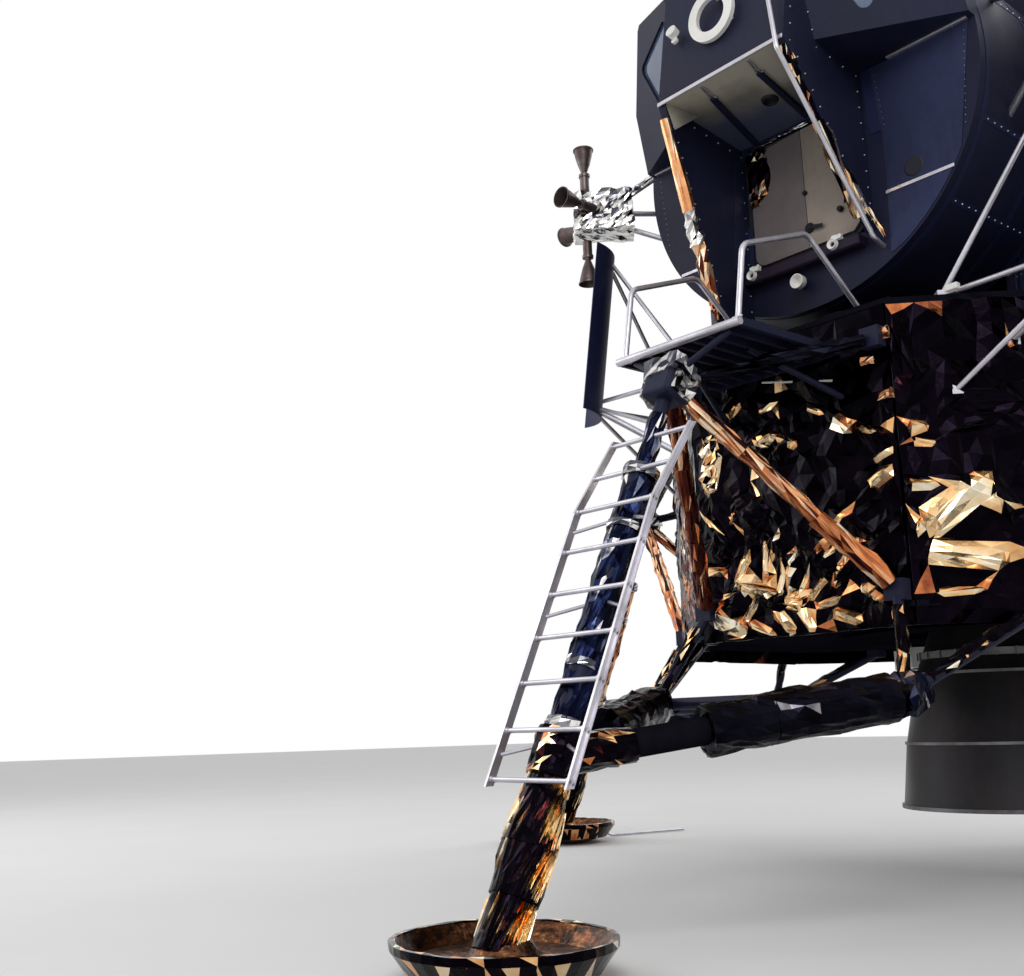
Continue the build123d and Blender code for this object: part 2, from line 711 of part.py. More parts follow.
def front_face():
    """The bulkhead with its hatch opening, the walls of the recess, and the brow with its windows."""
    face = barrel(CABIN_RADIUS, HATCH_PLANE, FACE_JOIN) + brow(0) + nose(0)
    face = face + recess_wall(1) + recess_wall(-1)
    cavity = brow(CABIN_WALL)
    cavity = (cavity - block((-2000, 2000), (HATCH_PLANE, 0), (3000, 7000))) + (
        cavity & barrel(CABIN_RADIUS - CABIN_WALL, BROW_REACH, FACE_JOIN + 1))
    face -= cavity
    face -= nose(CABIN_WALL) & block((-2000, 2000), (BROW_REACH, HATCH_PLANE), (3000, 7000))
    opening = HATCH_HALF + HATCH_GAP
    face -= block((-opening, opening), (HATCH_PLANE - 1, FACE_JOIN + 1),
                  (HATCH_BOTTOM - HATCH_GAP, HATCH_TOP + HATCH_GAP))
    for side in (1, -1):
        face -= window_prism(side, 60, 120)
    return main_solid(face)


def window_panes():
    """The two window panes, set back in their openings, and the small one over the port seat."""
    panes = [window_prism(side, -18, 18 + PANE_THICK) for side in (1, -1)]
    low = CABIN_CENTRE + CABIN_RADIUS - CABIN_WALL
    skin = barrel(CABIN_RADIUS - 12, *DOCKING_WINDOW_Y) - barrel(CABIN_RADIUS - 24, *DOCKING_WINDOW_Y)
    panes.append(main_solid(skin & block(DOCKING_WINDOW_X, DOCKING_WINDOW_Y, (low - 200, low + 100))))
    return panes


HATCH_HINGE = Vector(-HATCH_HALF - 8, FACE_JOIN + 18, 0)
HINGE_HEIGHTS = (HATCH_BOTTOM + 150, HATCH_TOP - 150)


def forward_hatch():
    """The square hatch with rounded corners and its two hinge knuckles."""
    middle = (HATCH_BOTTOM + HATCH_TOP) / 2
    panel = Pos(0, (HATCH_PLANE + FACE_JOIN) / 2, middle) * Box(2 * HATCH_HALF, CABIN_WALL - 4, 2 * HATCH_HALF)
    panel = fillet(panel.edges().filter_by(Axis.Y), 60)
    for z in HINGE_HEIGHTS:
        panel += block((-HATCH_HALF, -HATCH_HALF + 60), (FACE_JOIN - 4, HATCH_HINGE.Y + 6), (z - 30, z + 30))
        panel += block((HATCH_HINGE.X, -HATCH_HALF), (HATCH_HINGE.Y - 10, HATCH_HINGE.Y + 6), (z - 30, z + 30))
        panel += Pos(HATCH_HINGE.X, HATCH_HINGE.Y, z) * Cylinder(12, 60)
    for z in HINGE_HEIGHTS:
        panel -= Pos(HATCH_HINGE.X, HATCH_HINGE.Y, z) * Cylinder(6.5, 61)
    return panel


def hatch_hinge_pins():
    """Fixed hinge pins with their ears, inside the cabin."""
    pins = []
    for z in HINGE_HEIGHTS:
        pin = Pos(HATCH_HINGE.X, HATCH_HINGE.Y, z) * Cylinder(6, 120)
        for level in (z - 50, z + 50):
            pin += block((HATCH_HINGE.X - 50, HATCH_HINGE.X - 2), (FACE_JOIN, HATCH_HINGE.Y + 8),
                         (level - 10, level + 10))
        pins.append(pin)
    return pins


def midsection():
    """The hollow bay behind the cabin, under the docking tunnel."""
    y = (CABIN_BACK, 740)
    outer = block((-MID_HALF, MID_HALF), y, (MID_BOTTOM, MID_TOP))
    inner = block((-MID_HALF + CABIN_WALL, MID_HALF - CABIN_WALL), (CABIN_BACK - 1, 740 - CABIN_WALL),
                  (MID_BOTTOM + CABIN_WALL, MID_TOP - CABIN_WALL))
    shell = outer - inner
    shell -= Pos(0, 0, MID_TOP) * Cylinder(OVERHEAD_RADIUS, 4 * CABIN_WALL)
    return shell


def docking_tunnel():
    height = TUNNEL_TOP - MID_TOP
    low = (Align.CENTER, Align.CENTER, Align.MIN)
    tunnel = Cylinder(TUNNEL_RADIUS, height, align=low)
    tunnel += Pos(0, 0, height - 60) * Cylinder(TUNNEL_RADIUS + 30, 60, align=low)
    tunnel -= Cylinder(TUNNEL_RADIUS - TUNNEL_WALL, height, align=low)
    return Pos(0, 0, MID_TOP) * tunnel


OVERHEAD_HINGE = Vector(0, OVERHEAD_RADIUS + 40, MID_TOP - CABIN_WALL - 25)


def overhead_hatch():
    """A plug hatch that seats from inside and swings down."""
    disc_top = MID_TOP - CABIN_WALL - 5
    hatch = Pos(0, 0, disc_top - 20) * Cylinder(OVERHEAD_RADIUS + 15, 40)
    hatch += Pos(0, 0, disc_top + 15) * Cylinder(OVERHEAD_RADIUS - 12, 30)
    hatch += block((-60, 60), (OVERHEAD_RADIUS - 20, OVERHEAD_HINGE.Y), (disc_top - 30, disc_top - 10))
    hatch += Pos(*OVERHEAD_HINGE) * Rot(0, 90, 0) * Cylinder(12, 120)
    return hatch - Pos(*OVERHEAD_HINGE) * Rot(0, 90, 0) * Cylinder(6.5, 121)


def overhead_hinge_pin():
    pin = Pos(*OVERHEAD_HINGE) * Rot(0, 90, 0) * Cylinder(6, 180)
    for x in (-80, 80):
        pin += block((x - 10, x + 10), (OVERHEAD_HINGE.Y - 10, OVERHEAD_HINGE.Y + 10),
                     (OVERHEAD_HINGE.Z - 10, MID_TOP - CABIN_WALL))
    return pin


# Bays and tanks of the ascent stage
# columns: x, z of each tank fairing in front view, from its top inner edge
FUEL_OUTLINE = [(MID_HALF, 5520), (1120, 5480), (1778, 5156), (2337, 4902), (2464, 4801),
                (2464, 4039), (2032, 3581), (1168, 3500), (MID_HALF, 3500)]
OXIDIZER_OUTLINE = [(MID_HALF, 5520), (1120, 5480), (1676, 5105), (1829, 4902), (1829, 3988),
                    (1524, 3581), (1168, 3500), (MID_HALF, 3500)]
FAIRING_HALF = 640


def fairing(outline, side):
    """A tank fairing with its outer front and rear edges cut back."""
    solid = crosswise([(side * x, z) for x, z in outline], -FAIRING_HALF, FAIRING_HALF)
    reach = max(x for x, z in outline)
    slope = 320
    for end in (1, -1):
        cut = prism([(side * (reach - slope), end * (FAIRING_HALF + 1)), (side * (reach + 1), end * (FAIRING_HALF + 1)),
                     (side * (reach + 1), end * (FAIRING_HALF - slope * 0.8))], 3000, 6000)
        solid -= cut
    return solid


def aft_bay():
    outline = [(-1140, 5000), (-760, 5490), (760, 5490), (1140, 5000), (1140, 3980), (820, 3580),
               (-820, 3580), (-1140, 3980)]
    return crosswise(outline, 740, 1800)


def ascent_engine():
    return turned([(0, 3300), (390, 3300), (375, 3330), (250, MID_BOTTOM), (0, MID_BOTTOM)])


def interstage_fittings():
    posts = []
    for x in (-600, 600):
        for y in (-560, 600):
            posts.append(tube((x, y, DECK_TOP), (x, y, MID_BOTTOM), 55))
    return posts


# Thruster clusters: a box that points out from the corner, two thrusters up and down near its
# outer end and two that face along X and Y
CORNERS = ((1, 1), (-1, 1), (-1, -1), (1, -1))


def bell(reach):
    """A thruster pointing up from the origin, its mouth at the given reach."""
    wall = 5
    # columns: radius, distance below the mouth
    outer = [(34, 330), (34, 215), (21, 185), (45, 120), (62, 55), (THRUSTER_RADIUS, 0)]
    outer = [(radius, reach - below) for radius, below in outer]
    inner = [(radius - wall, height) for radius, height in reversed(outer[3:])]
    return turned([(0, outer[0][1])] + outer + inner + [(0, inner[-1][1])])


def corner_place(sx, sy):
    return Pos(sx * CLUSTER_OFFSET, sy * CLUSTER_OFFSET, CLUSTER_HEIGHT)


def cluster_core(sx, sy):
    core = Rot(0, 0, 45 * sx * sy) * Box(*CLUSTER_BOX)
    return corner_place(sx, sy) * chamfer(core.edges().filter_by(Axis.Z), 30)


def rcs_clusters():
    return [cluster_core(sx, sy) for sx, sy in CORNERS]


def rcs_nozzles():
    bells = []
    for sx, sy in CORNERS:
        out = THRUSTER_SHIFT * math.sqrt(0.5)
        upright = Pos(sx * out, sy * out, 0)
        for solid in (upright * bell(VERTICAL_REACH), upright * Rot(180, 0, 0) * bell(VERTICAL_REACH),
                      Pos(sx * 40, -sy * 40, 0) * Rot(0, sx * 90, 0) * bell(SIDE_REACH),
                      Pos(-sx * 40, sy * 40, 0) * Rot(-sy * 90, 0, 0) * bell(SIDE_REACH)):
            bells.append(main_solid(corner_place(sx, sy) * solid - cluster_core(sx, sy)))
    return bells


def rcs_booms():
    """Three struts from each cluster to the stage."""
    booms = []
    for sx, sy in CORNERS:
        core = cluster_core(sx, sy)
        inboard = CLUSTER_OFFSET - 110
        centre = Vector(sx * inboard, sy * inboard, CLUSTER_HEIGHT)
        if sy < 0:
            ends = [(sx * 1000, -1250, 5150), (sx * 1000, -1250, 4250), (sx * 1100, -900, CLUSTER_HEIGHT)]
            body = barrel(CABIN_RADIUS, FACE_JOIN, CABIN_BACK)
        else:
            ends = [(sx * 1000, 1250, 4900), (sx * 1000, 1250, 4300), (sx * 1000, 1000, CLUSTER_HEIGHT)]
            body = aft_bay()
        for level, end in zip((110, -110, 0), ends):
            start = centre + Vector(0, 0, level)
            booms.append(main_solid(tube(start, end, 20) - core - body))
    return booms


# Rendezvous radar over the hatch face
RADAR_PIVOT = Vector(0, -1560, 6200)
RADAR_DISH_RISE = 360


def radar_pedestal():
    base = tube((0, RADAR_PIVOT.Y, 5750), (0, RADAR_PIVOT.Y, RADAR_PIVOT.Z - 60), 45)
    base = base - barrel(CABIN_RADIUS, FACE_JOIN, CABIN_BACK)
    top = tube(RADAR_PIVOT - Vector(90, 0, 0), RADAR_PIVOT + Vector(90, 0, 0), 30)
    web = block((-40, 40), (RADAR_PIVOT.Y - 40, RADAR_PIVOT.Y + 40), (RADAR_PIVOT.Z - 80, RADAR_PIVOT.Z))
    return base + top + web


def radar_yoke():
    """A fork that tips about the pedestal's cross shaft."""
    y = (RADAR_PIVOT.Y - 45, RADAR_PIVOT.Y + 45)
    level = RADAR_PIVOT.Z
    yoke = block((-85, 85), y, (level + 60, level + 100))
    for x in ((55, 85), (-85, -55)):
        yoke += block(x, y, (level - 45, level + 90))
    yoke += tube(RADAR_PIVOT + Vector(0, 0, 95), RADAR_PIVOT + Vector(0, 0, RADAR_DISH_RISE + 45), 18)
    return yoke - tube(RADAR_PIVOT - Vector(100, 0, 0), RADAR_PIVOT + Vector(100, 0, 0), 30.5)


def dish(radius, depth, wall):
    """A bowl that opens along +Z from its back at the origin."""
    steps = 5
    inner = [(radius * i / steps, depth * (i / steps) ** 2) for i in range(steps + 1)]
    outer = [(r, z - wall) for r, z in reversed(inner)]
    return turned(inner + outer)


def radar_dish():
    body = Rot(90, 0, 0) * dish(305, 70, 10)
    body = Pos(0, -60, 0) * body
    body += Cylinder(34, 70)
    body += block((-30, 30), (-60, 0), (-30, 30))
    body -= Cylinder(19, 250)
    return Pos(RADAR_PIVOT.X, RADAR_PIVOT.Y, RADAR_PIVOT.Z + RADAR_DISH_RISE) * body


# Steerable antenna on its mast, front starboard
MAST_BASE = Vector(-700, -1400, 5600)
MAST_TOP = Vector(-1250, -1550, 6455)


def antenna_mast():
    mast = tube(MAST_BASE, MAST_TOP, 30) - barrel(CABIN_RADIUS, FACE_JOIN, CABIN_BACK)
    return main_solid(mast) + ball(MAST_TOP, 45) + tube(MAST_TOP, MAST_TOP + Vector(0, 0, 120), 20)


def antenna_yoke():
    origin = MAST_TOP + Vector(0, 0, 60)
    yoke = Pos(*origin) * Cylinder(45, 50, align=(Align.CENTER, Align.CENTER, Align.MIN))
    yoke += tube(origin + Vector(-120, 0, 140), origin + Vector(120, 0, 140), 16)
    yoke += Pos(origin.X, origin.Y, origin.Z + 100) * Box(60, 60, 110)
    return yoke - tube(MAST_TOP, MAST_TOP + Vector(0, 0, 125), 20.5)


def antenna_dish():
    bowl = Pos(0, -110, 0) * Rot(90, 0, 0) * dish(330, 90, 10)
    arms = None
    for side in (1, -1):
        x = (side * 85, side * 110)
        arm = block((min(x), max(x)), (-116, 25), (-28, 28))
        arms = arm if arms is None else arms + arm
    body = bowl + arms - tube((-130, 0, 0), (130, 0, 0), 16.5)
    return Pos(MAST_TOP.X, MAST_TOP.Y, MAST_TOP.Z + 200) * body


# Fixed antennas and lights
FRONT_RING = Vector(-25, -2425, 5154)
# columns: x, y, z from the nose down to the bulkhead
HANDRAIL = [(365, -2335, 5290), (365, -2435, 5270), (447, -2478, 4680), (517, -1800, 3700),
            (517, HATCH_PLANE + 10, 3670)]
# columns: share of the way down the long part, reach back to the recess wall
HANDRAIL_PEGS = [(0.25, 90), (0.75, 70)]


def inflight_antennas():
    """A ring antenna in front of the nose and one on the aft bay."""
    ring = Rot(90, 0, 0) * (Cylinder(165, 30) - Cylinder(105, 40))
    front = ring
    for angle in (90, 210, 330):
        x, z = 135 * math.cos(math.radians(angle)), 135 * math.sin(math.radians(angle))
        front += tube((x, 0, z), (x, 120, z), 10)
    front = main_solid(Pos(*FRONT_RING) * front - nose(0))
    rear = Pos(560, 1700, 5800) * (ring + tube((0, 0, -160), (0, 0, -310), 16))
    return front, rear


def vhf_antennas():
    """Two slant rods with a round base on the upper corners."""
    rods = []
    for x, y, lean in ((700, 1200, 250), (-700, 1200, -250)):
        rods.append(tube((x, y, 5490), (x, y, 5560), 60) + tube((x, y, 5560), (x + lean, y + 200, 6200), 14))
    return rods


def eva_handrail():
    """The rail from the nose down the port side of the entry recess, with two pegs to its wall."""
    bulkhead = barrel(CABIN_RADIUS, HATCH_PLANE, FACE_JOIN)
    rail = hoop([Vector(*point) for point in HANDRAIL], 45, 14) - nose(0) - bulkhead
    upper, lower = Vector(*HANDRAIL[2]), Vector(*HANDRAIL[3])
    wall_side = RECESS_HALF + RECESS_WALL
    for share, back in HANDRAIL_PEGS:
        start = upper + (lower - upper) * share
        end = Vector(wall_side - 20, start.Y + back, start.Z - 30)
        rail += tube(start, end, 9) - recess_wall(1) - nose(0)
    return main_solid(rail)


os.makedirs("parts", exist_ok=True)

save("descent_decks", *descent_decks())
save("tank_bays", *quarters(tank_bay()))
save("plain_bays", at_corner(corner_bay(), "port_front"), at_corner(corner_bay(), "starboard_aft"))
save("pallet_bay", at_corner(corner_bay(PALLET_POCKET_TOP, PALLET_HINGE), "starboard_front"))
save("equipment_bay", at_corner(corner_bay(DOOR_POCKET_TOP, DOOR_HINGE), "port_aft"))
save("equipment_pallet", at_corner(equipment_pallet(), "starboard_front"))
save("equipment_door", at_corner(equipment_door(), "port_aft"))
save("landing_radar", at_corner(landing_radar(), "starboard_aft"))
save("radar_brackets", at_corner(radar_brackets(), "starboard_aft"))
save("base_shield", base_shield())
save("engine_mounts", *engine_mounts())
save("gimbal_ring", gimbal_ring())
save("descent_engine", descent_engine())
save("descent_nozzle", descent_nozzle())

cylinders, pistons = secondary_struts()
save("leg_fittings", *quarters(*leg_fittings()))
save("outrigger_tubes", *quarters(*outrigger_tubes()))
save("primary_cylinders", *quarters(primary_cylinder()))
save("primary_pistons", *quarters(primary_piston()))
save("strut_wraps", *quarters(strut_wrap()))
save("secondary_cylinders", *quarters(*cylinders))
save("secondary_pistons", *quarters(*pistons))
save("deployment_trusses", *quarters(*deployment_truss()))
save("truss_ends", *quarters(*truss_ends()))
save("footpads", *quarters(footpad()))
save("contact_probes", *[Rot(0, 0, turn) * contact_probe() for turn in (0, 180, 270)])

save("ladder_rails", *ladder_rails())
save("ladder_rungs", *ladder_rungs())
save("ladder_brackets", *ladder_brackets())
save("porch", porch())
save("porch_rails", *porch_rails())
save("porch_struts", *porch_struts())
corner_list = list(CORNER_TURNS)
save("plume_deflectors", *[at_corner(deflector(), corner) for corner in corner_list])
# The door's corner has its lower feet over the door, which swings up past them
LOW_FEET = {"port_aft": 2960}
save("deflector_struts", *[at_corner(solid, corner) for corner in corner_list
                           for solid in deflector_struts(LOW_FEET.get(corner, 2700))])

save("cabin_shell", cabin_shell())
save("front_face", front_face() + hatch_hinge_pins()[0] + hatch_hinge_pins()[1])
save("window_panes", *window_panes())
save("forward_hatch", forward_hatch())
save("midsection", midsection() + overhead_hinge_pin())
save("docking_tunnel", docking_tunnel())
save("overhead_hatch", overhead_hatch())
save("aft_bay", aft_bay())
save("fuel_fairing", fairing(FUEL_OUTLINE, 1))
save("oxidizer_fairing", fairing(OXIDIZER_OUTLINE, -1))
save("ascent_engine", ascent_engine())
save("interstage_fittings", *interstage_fittings())
save("rcs_clusters", *rcs_clusters())
save("rcs_nozzles", *rcs_nozzles())
save("rcs_booms", *rcs_booms())
save("radar_pedestal", radar_pedestal())
save("radar_yoke", radar_yoke())
save("radar_dish", radar_dish())
save("antenna_mast", antenna_mast())
save("antenna_yoke", antenna_yoke())
save("antenna_dish", antenna_dish())
save("inflight_antennas", *inflight_antennas())
save("vhf_antennas", *vhf_antennas())
save("eva_handrail", eva_handrail())
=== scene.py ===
"""Looks of a crewed lunar lander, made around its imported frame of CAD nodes."""
import json
import math
import random

import bmesh
import bpy
from bpy.props import FloatProperty, FloatVectorProperty, IntProperty, PointerProperty
from mathutils import Matrix, Vector
from mathutils.bvhtree import BVHTree
from mathutils.geometry import delaunay_2d_cdt


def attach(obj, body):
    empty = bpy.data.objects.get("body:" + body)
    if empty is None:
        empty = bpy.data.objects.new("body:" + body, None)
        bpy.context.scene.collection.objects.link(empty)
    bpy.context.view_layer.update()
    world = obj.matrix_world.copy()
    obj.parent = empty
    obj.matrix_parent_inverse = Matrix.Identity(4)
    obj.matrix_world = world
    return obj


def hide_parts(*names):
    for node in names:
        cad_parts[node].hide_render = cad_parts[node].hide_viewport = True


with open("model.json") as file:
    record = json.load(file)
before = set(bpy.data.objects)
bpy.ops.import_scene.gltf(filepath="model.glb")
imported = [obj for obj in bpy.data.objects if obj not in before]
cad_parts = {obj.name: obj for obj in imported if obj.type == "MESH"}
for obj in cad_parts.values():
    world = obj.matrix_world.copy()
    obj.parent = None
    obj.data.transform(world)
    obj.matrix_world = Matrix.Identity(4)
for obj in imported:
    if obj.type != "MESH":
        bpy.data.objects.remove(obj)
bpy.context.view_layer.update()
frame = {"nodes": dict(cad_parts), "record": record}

bl_info = {
    "name": "Lunar lander",
    "version": (1, 0, 0),
    "blender": (4, 5, 0),
    "location": "3D View > Sidebar > Lander",
    "description": "Dresses a lander's frame with foil, panels, fittings and finishes",
    "category": "Object",
}

UP = Vector((0, 0, 1))
QUARTERS = [math.radians(turn) for turn in (0, 90, 180, 270)]
CORNER_TURNS = {"port_aft": math.radians(45), "starboard_aft": math.radians(135),
                "starboard_front": math.radians(225), "port_front": math.radians(315)}


class FoilSettings(bpy.types.PropertyGroup):
    facet: FloatProperty(name="Facet size", description="Width of the large facets of a blanket",
                         default=0.15, min=0.03, unit="LENGTH")
    depth: FloatProperty(name="Crumple depth", description="How far the blankets stand off the bays",
                         default=0.05, min=0.0, unit="LENGTH")
    # The facets' tone is painted light: the gold side is a painted highlight standing for the reflected lit ground, and
    # the dark side is painted shade, partly the real black foil.
    gold: FloatVectorProperty(name="Gold side", description="Colour of the lit amber facets",
                              default=(0.90, 0.52, 0.22), subtype="COLOR")
    copper: FloatVectorProperty(name="Copper", description="Colour of the copper foil",
                                default=(0.62, 0.20, 0.07), subtype="COLOR")
    dark: FloatVectorProperty(name="Dark side", description="Colour of the blackened facets",
                              default=(0.002, 0.0015, 0.003), subtype="COLOR")
    silver: FloatVectorProperty(name="Silver", description="Colour of the silver foil",
                                default=(0.78, 0.76, 0.74), subtype="COLOR")


class PaintSettings(bpy.types.PropertyGroup):
    # The panels' grey is partly painted shade: darker and bluer than the bare sheet.
    panel: FloatVectorProperty(name="Cabin panels", description="Dull grey of the face's metal sheets",
                               default=(0.032, 0.041, 0.104), subtype="COLOR")
    shade: FloatVectorProperty(name="Dark panels", description="Blue-black of the blackened sheets",
                               default=(0.006, 0.007, 0.020), subtype="COLOR")
    tan: FloatVectorProperty(name="Tan sheet", description="Tan-grey of the hatch's port half",
                             default=(0.320, 0.272, 0.232), subtype="COLOR")
    roof: FloatVectorProperty(name="Roof", description="Tan-grey of the recess roof at its lip",
                              default=(0.37, 0.345, 0.285), subtype="COLOR")
    hatch: FloatVectorProperty(name="Hatch", description="Brown-grey of the hatch's other half",
                               default=(0.165, 0.139, 0.140), subtype="COLOR")
    alloy: FloatVectorProperty(name="Bare alloy", description="Pale metal of tubes and fittings",
                               default=(0.62, 0.60, 0.66), subtype="COLOR")
    white: FloatVectorProperty(name="White paint", description="Thermal white of the antennas",
                               default=(0.80, 0.79, 0.76), subtype="COLOR")


class StageSettings(bpy.types.PropertyGroup):
    camera_place: FloatVectorProperty(name="Camera", description="Where the camera stands",
                                      default=(3.903, -7.476, 1.013), subtype="TRANSLATION")
    lens: FloatProperty(name="Lens", description="Focal length on a sensor 36 mm wide",
                        default=40.94, subtype="DISTANCE_CAMERA")
    daylight: FloatProperty(name="Room light", description="Strength of the even light all round",
                            default=0.62, min=0.0)
    floor_colour: FloatVectorProperty(name="Floor", description="Colour of the floor",
                                      default=(0.80, 0.80, 0.80), subtype="COLOR")


class LanderSettings(bpy.types.PropertyGroup):
    foil: PointerProperty(type=FoilSettings)
    paint: PointerProperty(type=PaintSettings)
    stage: PointerProperty(type=StageSettings)
    seed: IntProperty(name="Seed", description="Start of every random draw", default=7)


def settings():
    return bpy.context.scene.lander


# Shaders
def group_tree(name, inputs, outputs):
    """A node group with named sockets, or None where it is there already."""
    if name in bpy.data.node_groups:
        return None
    tree = bpy.data.node_groups.new(name, "ShaderNodeTree")
    for label, kind, value in inputs:
        socket = tree.interface.new_socket(name=label, in_out="INPUT", socket_type=kind)
        socket.default_value = value
    for label, kind in outputs:
        tree.interface.new_socket(name=label, in_out="OUTPUT", socket_type=kind)
    return tree


def node(tree, kind, **settings_of):
    made = tree.nodes.new(kind)
    for key, value in settings_of.items():
        setattr(made, key, value)
    return made


def wire(tree, source, target):
    tree.links.new(source, target)


def ramp_of(tree, stops, interpolation="LINEAR"):
    ramp = tree.nodes.new("ShaderNodeValToRGB")
    ramp.color_ramp.interpolation = interpolation
    while len(ramp.color_ramp.elements) < len(stops):
        ramp.color_ramp.elements.new(0.5)
    for element, (place, colour) in zip(ramp.color_ramp.elements, stops):
        element.position = place
        element.color = (*colour, 1.0) if len(colour) == 3 else colour
    return ramp


def mixed(tree, factor, first, second, mode="MIX"):
    """A colour mix node, each input a socket or a colour."""
    mix = tree.nodes.new("ShaderNodeMix")
    mix.data_type = "RGBA"
    mix.blend_type = mode
    for socket, value in ((mix.inputs[0], factor), (mix.inputs[6], first), (mix.inputs[7], second)):
        if isinstance(value, bpy.types.NodeSocket):
            tree.links.new(value, socket)
        elif isinstance(value, (int, float)):
            socket.default_value = value
        else:
            socket.default_value = (*value, 1.0)
    return mix.outputs[2]


def math_node(tree, kind, first, second=0.0):
    made = node(tree, "ShaderNodeMath", operation=kind)
    for socket, value in zip(made.inputs, (first, second)):
        if isinstance(value, bpy.types.NodeSocket):
            tree.links.new(value, socket)
        else:
            socket.default_value = value
    return made.outputs[0]


def noise_of(tree, place, scale, detail=3.0, rough=0.55, stretch=None):
    if stretch:
        mapping = tree.nodes.new("ShaderNodeMapping")
        mapping.inputs["Scale"].default_value = stretch
        wire(tree, place, mapping.inputs["Vector"])
        place = mapping.outputs[0]
    made = tree.nodes.new("ShaderNodeTexNoise")
    wire(tree, place, made.inputs["Vector"])
    if isinstance(scale, bpy.types.NodeSocket):
        wire(tree, scale, made.inputs["Scale"])
    else:
        made.inputs["Scale"].default_value = scale
    made.inputs["Detail"].default_value = detail
    made.inputs["Roughness"].default_value = rough
    return made.outputs["Fac"]


def wrinkle_group():
    """Fine folds of foil: ridges of stretched noise at two sizes, as one height."""
    tree = group_tree("foil wrinkles", [("Scale", "NodeSocketFloat", 14.0)], [("Height", "NodeSocketFloat")])
    if tree:
        source, sink = tree.nodes.new("NodeGroupInput"), tree.nodes.new("NodeGroupOutput")
        place = tree.nodes.new("ShaderNodeTexCoord").outputs["Object"]
        heights = []
        # columns: share of the scale, stretch, weight
        for share, stretch, weight in ((0.5, (1.0, 0.5, 0.35), 1.0), (1.7, (0.5, 1.0, 0.7), 0.4)):
            field = noise_of(tree, place, math_node(tree, "MULTIPLY", source.outputs[0], share), 2.0, 0.4, stretch)
            fold = math_node(tree, "ABSOLUTE", math_node(tree, "SUBTRACT", field, 0.5))
            heights.append(math_node(tree, "MULTIPLY", fold, weight))
        wire(tree, math_node(tree, "ADD", heights[0], heights[1]), sink.inputs[0])
    return bpy.data.node_groups["foil wrinkles"]


def weather_group():
    """Soft blotches and fine streaks: a colour between two tones, a roughness and a fine height."""
    tree = group_tree("weathered sheet",
                      [("Base", "NodeSocketColor", (0.5, 0.5, 0.5, 1)), ("Stain", "NodeSocketColor", (0.3, 0.3, 0.3, 1)),
                       ("Blotch", "NodeSocketFloat", 1.6), ("Grain", "NodeSocketFloat", 90.0),
                       ("Smooth", "NodeSocketFloat", 0.35), ("Rough", "NodeSocketFloat", 0.6)],
                      [("Color", "NodeSocketColor"), ("Roughness", "NodeSocketFloat"),
                       ("Height", "NodeSocketFloat")])
    if tree:
        source, sink = tree.nodes.new("NodeGroupInput"), tree.nodes.new("NodeGroupOutput")
        place = tree.nodes.new("ShaderNodeTexCoord").outputs["Object"]
        blotch = noise_of(tree, place, source.outputs["Blotch"], 6.0, 0.6)
        spread = ramp_of(tree, [(0.36, (0, 0, 0)), (0.64, (1, 1, 1))])
        wire(tree, blotch, spread.inputs[0])
        grain = noise_of(tree, place, source.outputs["Grain"], 4.0, 0.6)
        streak = noise_of(tree, place, 26.0, 3.0, 0.5, (1.0, 1.0, 0.12))
        mask = math_node(tree, "MULTIPLY", spread.outputs[0], math_node(tree, "ADD", streak, 0.35))
        wire(tree, mixed(tree, mask, source.outputs["Base"], source.outputs["Stain"]), sink.inputs[0])
        span = tree.nodes.new("ShaderNodeMapRange")
        wire(tree, math_node(tree, "ADD", math_node(tree, "MULTIPLY", blotch, 0.7),
                             math_node(tree, "MULTIPLY", grain, 0.3)), span.inputs["Value"])
        span.inputs["From Min"].default_value, span.inputs["From Max"].default_value = 0.3, 0.7
        wire(tree, source.outputs["Smooth"], span.inputs["To Min"])
        wire(tree, source.outputs["Rough"], span.inputs["To Max"])
        wire(tree, span.outputs[0], sink.inputs[1])
        wire(tree, grain, sink.inputs[2])
    return bpy.data.node_groups["weathered sheet"]


def new_material(name):
    """An empty material with its shader, made once; the flag says whether it is new."""
    if name in bpy.data.materials:
        return bpy.data.materials[name], None, None
    material = bpy.data.materials.new(name)
    material.use_nodes = True
    tree = material.node_tree
    return material, tree, tree.nodes["Principled BSDF"]


def placed_group(tree, group, **values):
    made = tree.nodes.new("ShaderNodeGroup")
    made.node_tree = group
    for label, value in values.items():
        made.inputs[label].default_value = value if isinstance(value, (int, float)) else (*value, 1.0)
    return made


def bumped(tree, shader, height, distance, strength=1.0, normal=None):
    bump = tree.nodes.new("ShaderNodeBump")
    bump.inputs["Strength"].default_value = strength
    bump.inputs["Distance"].default_value = distance
    wire(tree, height, bump.inputs["Height"])
    if normal:
        wire(tree, normal, bump.inputs["Normal"])
    wire(tree, bump.outputs[0], shader.inputs["Normal"])
    return bump.outputs[0]


